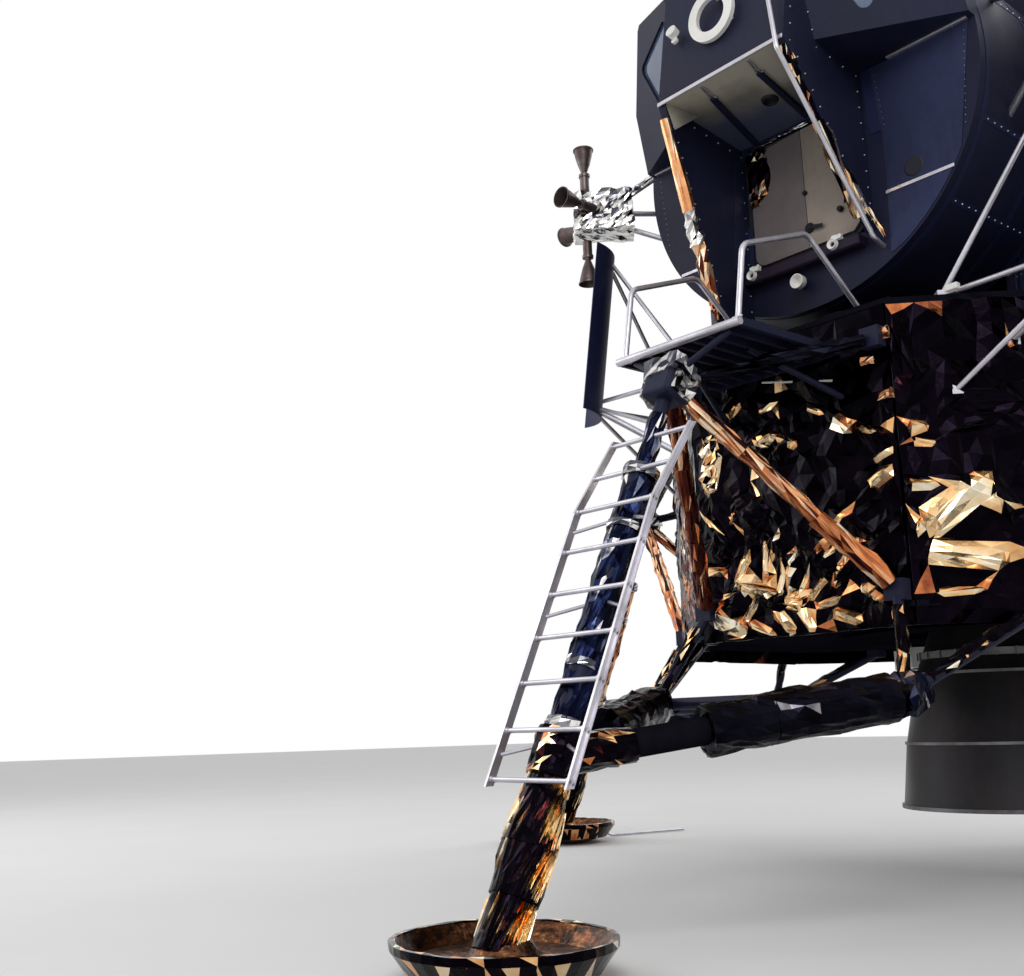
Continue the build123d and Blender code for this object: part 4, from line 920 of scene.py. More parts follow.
class LANDER_OT_blankets(bpy.types.Operator):
    """Cover the square bays and the plain corner bays with folded foil blankets"""
    bl_idname = "lander.blankets"
    bl_label = "Foil blankets"

    def execute(self, context):
        foil, picker = settings().foil, random.Random(settings().seed)
        middle, high = (BAY_LOW + BAY_HIGH - SKIRT) / 2, BAY_HIGH - BAY_LOW + SKIRT - 0.01
        bm = bmesh.new()
        for quarter in QUARTERS:
            measured = FRONT_FOLDS if quarter == QUARTERS[-1] else ()
            joined(bm, bay_blanket(BAY_WIDE, high, foil, picker, measured), at_face(BAY_FRONT, middle, quarter))
            for side in (-0.5, 0.5):
                corner = at_face(BAY_FRONT, BAY_LOW - SKIRT / 2 + 0.01, quarter) @ Vector((side * BAY_WIDE, 0.012, 0))
                add_box(bm, corner, (0.028, 0.018, SKIRT), Matrix.Rotation(quarter + math.pi / 2, 4, "Z"))
        finish_piece(bm, "square_bay_blankets", foil_gold(), sharp=None)
        bm = bmesh.new()
        for name in ("starboard_aft", "port_front"):
            measured = CORNER_FOLDS if name == "port_front" else ()
            joined(bm, bay_blanket(2 * CORNER_HALF, high, foil, picker, measured, 1.4),
                   at_face(CORNER_REACH, middle, CORNER_TURNS[name]))
        finish_piece(bm, "corner_bay_blankets", foil_gold(), sharp=None)
        return {"FINISHED"}


def bay_blanket(width, high, foil, picker, measured=(), size=1.0):
    """A bay's blanket: measured folds with painted highlights, or a strewn set whose painted highlights are thickest
    low down, among small dark ones.
    """
    folds = []
    for across, up, lean, half_length, half_width in measured:
        lit = (picker.uniform(0.84, 1.0), picker.uniform(0.70, 0.86))
        folds.append(Fold((across, up + SKIRT / 2), math.radians(lean), half_length, half_width,
                          min(foil.depth, half_width), lit, 0.84 if half_width > 0.06 else 0.62))
    strewn = () if measured else ((-0.48, 0.60, 24), (-0.22, 0.45, 14), (0.14, 0.30, 12))
    for low, share, count in strewn:
        for fold in random_folds(width, high * 0.26, int(count / size), picker, share, size, foil.depth):
            fold.centre.y += (low + 0.13) * high
            folds.append(fold)
    folds += random_folds(width, high, int((34 if measured else 54) / size), picker, 0.06, size * 0.8, foil.depth * 0.8)
    return folded_sheet(width, high, folds, picker, foil.depth * 0.4, foil.facet)


# The entry recess and hatch
HATCH_PLANE, HATCH_LOW, HATCH_HIGH = -1.70, 3.81, 4.622
LEFT_EDGE, RIGHT_EDGE, SEAM = -0.362, 0.394, 0.034
LEFT_NOTCH, LEFT_RADIUS = (-0.400, 4.415), 0.188
RIGHT_NOTCH, RIGHT_RADIUS = (0.350, 4.13), 0.132
ROOF_FRONT, ROOF_BACK = Vector((0, -2.437, 4.761)), Vector((0, -1.70, 4.661))
WALL_EDGES = {"starboard": (Vector((-0.443, -2.437, 4.761)), Vector((-0.443, -2.021, 3.442))),
              "port": (Vector((0.443, -2.437, 4.761)), Vector((0.443, -1.72, 3.79)))}


def arc(centre, radius, start, end, steps=12):
    """Points of a round edge in the XZ plane, in degrees from the first axis."""
    turns = [math.radians(start + (end - start) * step / steps) for step in range(steps + 1)]
    return [(centre[0] + radius * math.cos(turn), centre[1] + radius * math.sin(turn)) for turn in turns]


def extruded(part, face, reach):
    made = bmesh.ops.extrude_face_region(part, geom=[face])["geom"]
    bmesh.ops.translate(part, vec=reach, verts=[item for item in made if isinstance(item, bmesh.types.BMVert)])


def add_plate(bm, outline, thick, place):
    """A sheet cut to an outline of (x, z) points; its front looks along -Y at y = 0."""
    part = bmesh.new()
    extruded(part, part.faces.new([part.verts.new((x, 0, z)) for x, z in outline]), (0, thick, 0))
    joined(bm, part, place)


def add_bar(bm, start, end, wide, thick, flat, soften=0.0):
    """A flat bar between two points, its wide side square to flat."""
    start, end, flat = Vector(start), Vector(end), Vector(flat).normalized()
    run = (end - start).normalized()
    across = run.cross(flat).normalized()
    turn = Matrix((across, run, across.cross(run))).transposed().to_4x4()
    add_box(bm, (start + end) / 2, (wide, (end - start).length, thick), turn, soften)


def on_roof(x, y, below=0.0):
    """A point under the recess roof, a little below its sheet."""
    share = (y - ROOF_BACK.y) / (ROOF_FRONT.y - ROOF_BACK.y)
    return Vector((x, y, ROOF_BACK.z + share * (ROOF_FRONT.z - ROOF_BACK.z))) + roof_down() * below


def roof_down():
    down = (ROOF_FRONT - ROOF_BACK).normalized().cross(Vector((1, 0, 0)))
    return down if down.z < 0 else -down


class LANDER_OT_hatch(bpy.types.Operator):
    """Skin the forward hatch: two sheets with notched sides, seam, rivets, latch and the foil behind"""
    bl_idname = "lander.hatch"
    bl_label = "Forward hatch"

    def execute(self, context):
        picker = random.Random(settings().seed + 1)
        front = HATCH_PLANE - 0.014
        low, high = HATCH_LOW + 0.02, HATCH_HIGH - 0.015
        bm = bmesh.new()
        left_arc = arc((LEFT_EDGE - 0.03, LEFT_NOTCH[1]), LEFT_RADIUS, -80, 80, 18)
        outline = ([(SEAM - 0.003, low), (SEAM - 0.003, high), (LEFT_EDGE + 0.02, high), (LEFT_EDGE, high - 0.02)]
                   + left_arc[::-1] + arc((LEFT_EDGE + 0.07, low + 0.07), 0.07, 180, 270, 6))
        add_plate(bm, outline, 0.012, Matrix.Translation((0, front, 0)))
        finish_piece(bm, "hatch_left_sheet", hatch_brown(), "forward_hatch")
        bm = bmesh.new()
        right_arc = arc((RIGHT_EDGE + 0.03, RIGHT_NOTCH[1]), RIGHT_RADIUS, 104, 256, 16)
        outline = ([(SEAM + 0.003, low), (RIGHT_EDGE - 0.05, low), (RIGHT_EDGE, low + 0.05)] + right_arc[::-1]
                   + [(RIGHT_EDGE, high - 0.05), (RIGHT_EDGE - 0.05, high), (SEAM + 0.003, high)])
        add_plate(bm, outline, 0.014, Matrix.Translation((0, front - 0.002, 0)))
        finish_piece(bm, "hatch_right_sheet", tan_panel(), "forward_hatch")
        bm = bmesh.new()
        # columns: first and last rivet (x, z), count
        for first, last, count in (((-0.30, low + 0.02), (0.33, low + 0.02), 24),
                                   ((-0.33, high - 0.02), (0.33, high - 0.02), 26),
                                   ((SEAM + 0.022, low + 0.05), (SEAM + 0.022, high - 0.05), 26),
                                   ((RIGHT_EDGE - 0.02, low + 0.08), (RIGHT_EDGE - 0.02, 3.98), 6),
                                   ((RIGHT_EDGE - 0.02, 4.30), (RIGHT_EDGE - 0.02, high - 0.07), 10)):
            add_rivets(bm, (first[0], front - 0.002, first[1]), (last[0], front - 0.002, last[1]), count, 0.003,
                       (0, -1, 0))
        finish_piece(bm, "hatch_rivets", tan_panel(), "forward_hatch")
        bm = bmesh.new()
        for x, z, radius, reach in ((0.273, 3.989, 0.018, 0.03), (0.038, 4.183, 0.015, 0.02), (0.05, 3.95, 0.032, 0.018)):
            add_turned(bm, [(0, reach), (radius * 0.8, reach), (radius, reach * 0.7), (radius, 0), (0, 0)],
                       Matrix.Translation((x, front, z)) @ Matrix.Rotation(math.pi / 2, 4, "X"), 20)
        add_bar(bm, (0.05, front - 0.022, 3.95), (0.15, front - 0.022, 3.93), 0.024, 0.008, (0, -1, 0), 0.002)
        finish_piece(bm, "hatch_latch", black_paint(), "forward_hatch")
        bm = bmesh.new()
        # columns: centre x, z, size, share of dark facets
        for x, z, size, dark in ((-0.30, 4.455, (0.16, 0.02, 0.30), 0.97), (-0.285, 4.335, (0.09, 0.03, 0.10), 0.35),
                                 (-0.335, 4.275, (0.06, 0.03, 0.07), 0.4), (0.345, 4.13, (0.09, 0.02, 0.22), 0.95)):
            joined(bm, crumpled_block(size, picker, 0.03, 0.006, lit_tone(dark)),
                   Matrix.Translation((x, HATCH_PLANE - size[1] / 2 + 0.004, z)))
        finish_piece(bm, "hatch_foil", foil_gold(), "forward_hatch", sharp=None)
        return {"FINISHED"}


class LANDER_OT_recess(bpy.types.Operator):
    """Line the entry recess: roof sheet with its lip, stays and vent, hatch surround and sill"""
    bl_idname = "lander.recess"
    bl_label = "Entry recess"

    def execute(self, context):
        picker, down = random.Random(settings().seed + 5), roof_down()
        bm = bmesh.new()
        add_bar(bm, on_roof(0, -2.432, 0.004), on_roof(0, -1.715, 0.004), 0.83, 0.006, down, 0.001)
        corner, inner = on_roof(-0.414, -2.425, 0.008), on_roof(-0.355, -2.19, 0.010)
        part = bmesh.new()
        face = part.faces.new([part.verts.new(tip) for tip in (corner, inner, Vector((-0.414, -2.36, 4.60)))])
        part.normal_update()
        extruded(part, face, face.normal * 0.004)
        joined(bm, part)
        finish_piece(bm, "recess_roof", roof_sheet())
        bm = bmesh.new()
        add_bar(bm, (-0.466, -2.446, 4.757), (0.466, -2.446, 4.757), 0.026, 0.010, (0, -1, 0.1), 0.002)
        stays = ((-0.146, -0.283, -2.41, -1.73), (0.202, 0.121, -2.41, -1.75))
        for x_front, x_back, y_front, y_back in stays:
            tip, root = on_roof(x_front, y_front, 0.012), on_roof(x_front - 0.02, y_front + 0.13, 0.018)
            for spread in (-0.012, 0.012):
                add_bar(bm, tip + Vector((spread * 0.4, 0, 0)), root + Vector((spread, 0, 0)), 0.007, 0.008, down)
            add_rod(bm, root - Vector((0.024, 0, 0)), root + Vector((0.024, 0, 0)), 0.006, 10)
        finish_piece(bm, "recess_lip", bare_alloy())
        bm = bmesh.new()
        for x_front, x_back, y_front, y_back in stays:
            add_bar(bm, on_roof(x_front - 0.02, y_front + 0.12, 0.018), on_roof(x_back, y_back, 0.018), 0.040, 0.020,
                    down, 0.004)
        finish_piece(bm, "roof_stays", dark_panel())
        bm = bmesh.new()
        add_turned(bm, [(0.0, 0.012), (0.030, 0.012), (0.034, 0.022), (0.046, 0.022), (0.054, 0.008), (0.054, 0),
                        (0, 0)],
                   Matrix.Translation(on_roof(0.056, -2.025)) @ down.to_track_quat("Z", "Y").to_matrix().to_4x4())
        finish_piece(bm, "roof_vent", black_paint())
        bm = bmesh.new()
        y = HATCH_PLANE - 0.010
        add_plate(bm, [(-0.417, 3.79), (-0.386, 3.79), (-0.374, 4.10), (-0.417, 4.13)], 0.009,
                  Matrix.Translation((0, y, 0)))
        add_plate(bm, [(-0.417, 4.66), (0.417, 4.66), (0.417, 4.634), (-0.30, 4.632), (-0.417, 4.58)], 0.009,
                  Matrix.Translation((0, y, 0)))
        jamb = bmesh.new()
        corners = ((-0.417, -1.712, 3.80), (-0.417, -1.88, 3.80), (-0.417, -1.78, 4.62), (-0.417, -1.712, 4.62))
        extruded(jamb, jamb.faces.new([jamb.verts.new(corner) for corner in corners]), (0.004, 0, 0))
        joined(bm, jamb)
        finish_piece(bm, "hatch_surround", grey_panel())
        bm = bmesh.new()
        add_bar(bm, (-0.41, y - 0.035, 3.74), (0.41, y - 0.035, 3.74), 0.09, 0.07, (0, 0, 1), 0.01)
        add_rivets(bm, (-0.38, y - 0.06, 3.776), (0.38, y - 0.06, 3.776), 24, 0.004, (0, 0, 1))
        finish_piece(bm, "hatch_sill", sill_purple())
        bm = bmesh.new()
        for x in (-0.345, 0.245):
            add_turned(bm, [(0.016, 0.02), (0.030, 0.03), (0.036, 0.0), (0.016, 0.0)],
                       Matrix.Translation((x, y - 0.072, 3.755)) @ Matrix.Rotation(math.pi / 2, 4, "X"), 18, True)
            joined(bm, crumpled_block((0.06, 0.03, 0.03), picker, 0.02, 0.005, levels=0),
                   Matrix.Translation((x + 0.03, y - 0.08, 3.79)))
        finish_piece(bm, "sill_fittings", white_paint())
        bm = bmesh.new()
        joined(bm, crumpled_sleeve((-0.36, y - 0.006, 4.628), (0.10, y - 0.006, 4.634), 0.008, picker, 0.03, 0.35,
                                   lit_tone(0.55), sides=6))
        joined(bm, crumpled_sleeve((0.12, y - 0.006, 4.634), (0.40, y - 0.006, 4.630), 0.007, picker, 0.03, 0.3,
                                   lit_tone(0.9), sides=6))
        finish_piece(bm, "hatch_top_seal", foil_silver(), sharp=None)
        return {"FINISHED"}


class LANDER_OT_edge_foil(bpy.types.Operator):
    """Roll foil over the front edges of the recess walls"""
    bl_idname = "lander.edge_foil"
    bl_label = "Edge foil"

    def execute(self, context):
        picker = random.Random(settings().seed + 2)
        top, foot = WALL_EDGES["starboard"]
        ahead = Vector((0, -0.010, 0))
        bm = bmesh.new()
        joined(bm, crumpled_sleeve(top.lerp(foot, 0.075) + ahead, top.lerp(foot, 0.50) + ahead, 0.030, picker, 0.30,
                                   0.06, even_tone(0.72, 0.95), 0.042, 10, fractal=0.2))
        joined(bm, crumpled_sleeve(top.lerp(foot, 0.64) + ahead, top.lerp(foot, 0.93) + ahead, 0.044, picker, 0.10,
                                   0.3, lit_tone(0.25, 0.7), 0.030, 8))
        joined(bm, crumpled_sleeve(top.lerp(foot, 0.91) + ahead, foot + ahead, 0.032, picker, 0.05, 0.35,
                                   lit_tone(0.5), 0.024, 8))
        finish_piece(bm, "starboard_edge_foil", foil_copper(), sharp=None)
        bm = bmesh.new()
        joined(bm, crumpled_sleeve(top.lerp(foot, 0.49) + ahead, top.lerp(foot, 0.66) + ahead * 2, 0.040, picker,
                                   0.05, 0.28, even_tone(0.45, 1.0), 0.048, 8))
        finish_piece(bm, "starboard_edge_wrap", foil_silver(), sharp=None)
        top, foot = WALL_EDGES["port"]
        bm = bmesh.new()
        joined(bm, crumpled_sleeve(top.lerp(foot, 0.04) + ahead, top.lerp(foot, 0.20) + ahead, 0.026, picker, 0.06,
                                   0.35, lit_tone(0.7, 0.5), 0.030, 7))
        joined(bm, crumpled_sleeve(top.lerp(foot, 0.19) + ahead, top.lerp(foot, 0.44) + ahead, 0.026, picker, 0.06,
                                   0.3, lit_tone(0.88, 0.5), 0.028, 7))
        joined(bm, crumpled_sleeve(top.lerp(foot, 0.43) + ahead, top.lerp(foot, 0.92) + ahead, 0.030, picker, 0.17,
                                   0.22, lit_tone(0.22, 0.7), 0.050, 8))
        # two streamers hang past the foot of the wall
        for slide, drop in ((0.0, 0.20), (0.05, 0.17)):
            start = top.lerp(foot, 0.90) + ahead + Vector((slide, 0, 0))
            joined(bm, crumpled_sleeve(start, start + Vector((0.05, 0.08, -drop)), 0.016, picker, 0.1, 0.2,
                                       lit_tone(0.2, 0.66), 0.008, 6))
        finish_piece(bm, "port_edge_foil", foil_gold(), sharp=None)
        return {"FINISHED"}


class LANDER_OT_cheeks(bpy.types.Operator):
    """Fit the flat cheek panels either side of the recess, with flange, seam and vent"""
    bl_idname = "lander.cheeks"
    bl_label = "Cheek panels"

    def execute(self, context):
        y = HATCH_PLANE - 0.004
        round_edge = arc((0, 4.65), 1.185, -58, -29, 10)
        outline = [(0.535, 4.785), (0.575, 4.374), (0.575, 4.05), (0.56, 3.62)] + round_edge + [(1.155, 4.785)]
        edge_strip = [(0.472, 4.785), (0.535, 4.785), (0.575, 4.374), (0.500, 4.374)]
        flanges, seams, vents, strips = (bmesh.new() for _ in range(4))
        # The starboard cheek gets the dark panel as painted shade; both cheeks are the same grey sheet.
        for side, material, name in ((1, grey_panel, "port_cheek"), (-1, dark_panel, "starboard_cheek")):
            panel = bmesh.new()
            add_plate(panel, outline, 0.004, Matrix.Diagonal((side, 1, 1, 1)) @ Matrix.Translation((0, y, 0)))
            finish_piece(panel, name, material())
            add_plate(strips, edge_strip, 0.004, Matrix.Diagonal((side, 1, 1, 1)) @ Matrix.Translation((0, y, 0)))
            add_bar(flanges, (side * 0.66, y - 0.012, 4.792), (side * 1.155, y - 0.012, 4.792), 0.026, 0.018,
                    (0, 0, 1), 0.002)
            add_bar(seams, (side * 0.565, y - 0.003, 3.985), (side * 0.985, y - 0.003, 3.985), 0.020, 0.005,
                    (0, -1, 0), 0.001)
            add_rivets(seams, (side * 0.58, y - 0.005, 3.985), (side * 0.97, y - 0.005, 3.985), 18, 0.0035, (0, -1, 0))
            add_rivets(seams, (side * 1.125, y, 4.73), (side * 1.075, y, 4.2), 14, 0.0028, (0, -1, 0))
            add_rivets(seams, (side * 0.56, y, 4.73), (side * 0.595, y, 4.40), 9, 0.0028, (0, -1, 0))
            add_turned(vents, [(0, 0.006), (0.052, 0.006), (0.060, 0.0), (0, 0)],
                       Matrix.Translation((side * 0.748, y, 4.075)) @ Matrix.Rotation(math.pi / 2, 4, "X"), 24)
        finish_piece(strips, "cheek_edges", navy_panel())
        finish_piece(flanges, "cheek_flanges", bare_alloy())
        finish_piece(seams, "cheek_seams", bare_alloy())
        finish_piece(vents, "cheek_vents", black_paint())
        return {"FINISHED"}


# Legs
FOOT_JOINT, APEX, KNEE = Vector((0, -4.242, 0.200)), Vector((0, -3.030, 2.750)), 0.760
STRUT_RUN = (APEX - FOOT_JOINT).normalized()
# the side of a strut that most of its painted highlights, the lit creases, are on
LIT_SIDE = Vector((0.944, -0.26, 0))
UPPER_LUG, LOWER_LUG = Vector((0.628, -2.095, 3.010)), Vector((0.628, -2.095, 1.662))
TRUSS_END, TRUSS_FOOT = Vector((0.800, -2.390, 1.130)), Vector((1.100, -1.560, 1.575))


def on_strut(run):
    return FOOT_JOINT + STRUT_RUN * run


def starboard(point):
    return Vector((-point[0], point[1], point[2]))


def on_all_legs(part, wanted=(0, 1, 2, 3)):
    """A piece with the part of the front leg at the wanted legs, counted to port from the front."""
    bm, mesh = bmesh.new(), bpy.data.meshes.new("leg")
    part.to_mesh(mesh)
    part.free()
    for quarter in range(4):
        if quarter in wanted:
            bm.from_mesh(mesh)
        mesh.transform(Matrix.Rotation(math.radians(90), 4, "Z"))
    bpy.data.meshes.remove(mesh)
    return bm


class LANDER_OT_legs(bpy.types.Operator):
    """Wrap the legs in foil: strut wraps and blankets, outrigger and truss sleeves, knees and joints"""
    bl_idname = "lander.legs"
    bl_label = "Leg foil"

    def execute(self, context):
        picker = random.Random(settings().seed + 3)
        part = bmesh.new()
        # The wraps are mostly dark, painted shade partly real black foil, under lit creases that are painted
        # highlights.
        # columns: start run, end run, start radius, end radius
        for first, last, near, far in ((-0.10, 0.16, 0.108, 0.098), (0.13, 0.38, 0.110, 0.120),
                                       (0.35, 0.60, 0.126, 0.096), (0.57, 0.70, 0.100, 0.084)):
            joined(part, crumpled_sleeve(on_strut(first), on_strut(last), near, picker, 0.16, 0.06,
                                         lit_tone(0.985), far, 22, fractal=0.4))
            for _ in range(44):
                joined(part, streak_ridge(first, last, near, far, picker))
        finish_piece(on_all_legs(part), "strut_foil", foil_gold(), replaces=("strut_wraps",),
                     sharp=None)
        part = bmesh.new()
        # The front leg's upper blanket is dark navy foil as painted shade; the other legs have the same blanket in
        # copper.
        upper_runs = ((0.86, 1.36, 0.080), (1.34, 1.84, 0.081), (1.82, 2.27, 0.080), (2.30, 2.62, 0.046))
        for first, last, radius in upper_runs:
            joined(part, crumpled_sleeve(on_strut(first), on_strut(last), radius, picker, 0.12, 0.06,
                                         lit_tone(0.84, 0.55), sides=16, fractal=0.5, streak=0.3))
        finish_piece(on_all_legs(part, (0,)), "front_strut_blanket", foil_navy(), sharp=None)
        part = bmesh.new()
        for first, last, radius in upper_runs:
            joined(part, crumpled_sleeve(on_strut(first), on_strut(last), radius, picker, 0.12, 0.06,
                                         lit_tone(0.35, 0.5), sides=16, fractal=0.5, streak=0.3))
        finish_piece(on_all_legs(part, (1, 2, 3)), "strut_blankets", foil_copper(), sharp=None)
        part = bmesh.new()
        for run, reach, radius in ((2.255, 0.03, 0.094), (1.94, 0.02, 0.088), (1.20, 0.02, 0.087), (0.90, 0.03, 0.090)):
            joined(part, crumpled_sleeve(on_strut(run - reach), on_strut(run + reach), radius, picker, 0.03, 0.09,
                                         lit_tone(0.72, 0.55), sides=12, fractal=0.6))
        finish_piece(on_all_legs(part), "strut_collars", foil_silver(), sharp=None)
        part = bmesh.new()
        # The upper outriggers are black foil, partly painted shade of the shadow under the porch.
        for end in (UPPER_LUG, starboard(UPPER_LUG)):
            joined(part, crumpled_sleeve(APEX.lerp(end, 0.10), APEX.lerp(end, 0.95), 0.034, picker, 0.14, 0.14,
                                         even_tone(0.0, 0.75), sides=8))
        finish_piece(on_all_legs(part), "upper_outriggers", foil_black(),
                     replaces=("outrigger_tubes",), sharp=None)
        part = bmesh.new()
        # The starboard sleeve gets more dark facets than the port one, as painted shade.
        for end, dark in ((LOWER_LUG, 0.34), (starboard(LOWER_LUG), 0.72)):
            for first, last, near, far in ((0.07, 0.34, 0.046, 0.042), (0.33, 0.66, 0.045, 0.043),
                                           (0.65, 0.965, 0.046, 0.050)):
                joined(part, crumpled_sleeve(APEX.lerp(end, first), APEX.lerp(end, last), near, picker, 0.17, 0.16,
                                             lit_tone(dark, 0.5), far, 12, fractal=0.6, streak=0.5))
        finish_piece(on_all_legs(part), "lower_outriggers", foil_copper(),
                     replaces=("outrigger_tubes",), sharp=None)
        part = bmesh.new()
        turn = STRUT_RUN.to_track_quat("Z", "Y").to_matrix().to_4x4()
        joined(part, crumpled_block((0.23, 0.20, 0.10), picker, 0.06, 0.012, lit_tone(0.4, 0.6)),
               Matrix.Translation(on_strut((APEX - FOOT_JOINT).length + 0.06)) @ turn)
        for side in (1, -1):
            joined(part, crumpled_block((0.05, 0.14, 0.14), picker, 0.05, 0.010, lit_tone(0.4, 0.6)),
                   Matrix.Translation(APEX + Vector((side * 0.095, 0.0, -0.02))) @ turn)
        finish_piece(on_all_legs(part), "apex_foil", foil_silver(), sharp=None)
        part = bmesh.new()
        for place in (TRUSS_END, starboard(TRUSS_END)):
            joined(part, crumpled_block((0.155, 0.155, 0.155), picker, 0.05, 0.016, lit_tone(0.85, 0.7)),
                   Matrix.Translation(place) @ Matrix.Rotation(0.6, 4, "X"))
        finish_piece(on_all_legs(part), "truss_joint_foil", foil_navy(),
                     replaces=("truss_ends",), sharp=None)
        part = bmesh.new()
        for side in (Vector, starboard):
            end, lug, foot = side(TRUSS_END), side(LOWER_LUG), side(TRUSS_FOOT)
            for tip, radius in ((lug, 0.033), (foot, 0.035)):
                joined(part, crumpled_sleeve(end.lerp(tip, 0.16), end.lerp(tip, 0.82), radius, picker, 0.09, 0.16,
                                             lit_tone(0.86, 0.66), sides=9, fractal=0.6))
        finish_piece(on_all_legs(part), "truss_foil", foil_gold(), sharp=None)
        part = bmesh.new()
        knee = on_strut(KNEE)
        joined(part, crumpled_sleeve(on_strut(KNEE - 0.10), on_strut(KNEE + 0.11), 0.112, picker, 0.04, 0.07,
                                     lit_tone(0.84), 0.114, 18, fractal=0.6, streak=0.6))
        for end in (TRUSS_END, starboard(TRUSS_END)):
            run = (end - knee).normalized()
            joined(part, crumpled_sleeve(knee + run * 0.085, knee + run * 0.36, 0.090, picker, 0.07, 0.08,
                                         lit_tone(0.80), 0.078, 14, streak=0.6))
        finish_piece(on_all_legs(part), "knee_foil", foil_gold(), sharp=None)
        part = bmesh.new()
        for end in (TRUSS_END, starboard(TRUSS_END)):
            run = (end - knee).normalized()
            for first, last in ((-1.03, -0.70), (-0.71, -0.39), (-0.40, -0.08)):
                joined(part, crumpled_sleeve(end + run * first, end + run * last, 0.120, picker, 0.13, 0.07,
                                             lit_tone(0.95, 0.55), sides=15, fractal=0.7))
        finish_piece(on_all_legs(part), "brace_foil", foil_black(), sharp=None)
        part = crumpled_block((0.085, 0.014, 0.27), picker, 0.03, 0.010, lit_tone(0.3, 0.7))
        turned = bmesh.new()
        joined(turned, part, Matrix.Translation((0.108, -2.87, 2.33)) @ Matrix.Rotation(0.12, 4, "Y"))
        finish_piece(turned, "outrigger_flap", foil_gold(), sharp=None)
        part = bmesh.new()
        joined(part, foil_ring([(0.402, 0.052), (0.474, 0.146), (0.476, 0.180), (0.452, 0.180)], picker),
               Matrix.Translation((FOOT_JOINT.x, FOOT_JOINT.y, 0)))
        finish_piece(on_all_legs(part), "footpad_rims", foil_gold(), sharp=None)
        return {"FINISHED"}


def streak_ridge(first, last, near, far, picker):
    """A long thin crease standing on a strut wrap between two runs, with a painted highlight that is brighter towards
    the lower run.
    """
    part = bmesh.new()
    layer = part.loops.layers.float.new("tone")
    span = (last - first) * picker.uniform(0.35, 0.8)
    begin = first + picker.random() * (last - first - span)
    turn_of = STRUT_RUN.to_track_quat("Z", "Y")
    lit_way = turn_of.inverted() @ LIT_SIDE
    angle = math.atan2(lit_way.y, lit_way.x) + picker.gauss(0, 0.34)
    if picker.random() < 0.25:
        angle = picker.uniform(0, 2 * math.pi)
    wide, low = picker.uniform(0.02, 0.07), 1 - (begin - first) / (last - first)
    tone = picker.uniform(0.60, 0.74) + 0.3 * low
    rings = []
    for share, spread in ((0.0, 0.1), (0.35, 1.0), (0.7, 0.8), (1.0, 0.05)):
        run = begin + span * share
        radius = near + (far - near) * (run - first) / (last - first) + 0.002
        turn = angle + share * 0.25
        corners = [(radius - 0.012, turn - wide * spread), (radius + 0.007, turn), (radius - 0.012, turn + wide * spread)]
        rings.append([part.verts.new((reach * math.cos(way), reach * math.sin(way), run)) for reach, way in corners])
    for low, high in zip(rings, rings[1:]):
        for side in range(3):
            part.faces.new((low[side], low[side - 1], high[side - 1], high[side]))
    part.faces.new(rings[0])
    part.faces.new(reversed(rings[-1]))
    bmesh.ops.recalc_face_normals(part, faces=part.faces)
    for face in part.faces:
        tint(face, layer, tone + picker.uniform(-0.1, 0.1))
    place = Matrix.Translation(FOOT_JOINT) @ turn_of.to_matrix().to_4x4()
    bmesh.ops.transform(part, matrix=place, verts=part.verts)
    return part


def foil_ring(profile, picker, steps=44, thick=0.004):
    """A crumpled foil band turned about Z, with a wall inside it."""
    part = bmesh.new()
    inner = [(radius - thick, height - thick) for radius, height in reversed(profile)]
    add_turned(part, profile + inner, None, steps, True)
    layer = part.loops.layers.float.new("tone")
    bmesh.ops.triangulate(part, faces=part.faces, quad_method="ALTERNATE", ngon_method="BEAUTY")
    for vert in part.verts:
        vert.co += Vector([picker.uniform(-1, 1) * 0.0025 for _ in range(3)])
    tone = lit_tone(0.84)
    for face in part.faces:
        tint(face, layer, tone(picker))
    return part


# Thruster clusters
CLUSTER_PLACE, CLUSTER_SIZE, CLUSTER_HIGH = 1.70, (0.43, 0.29, 0.33), 4.70
CORNERS = ((1, -1), (1, 1), (-1, 1), (-1, -1))


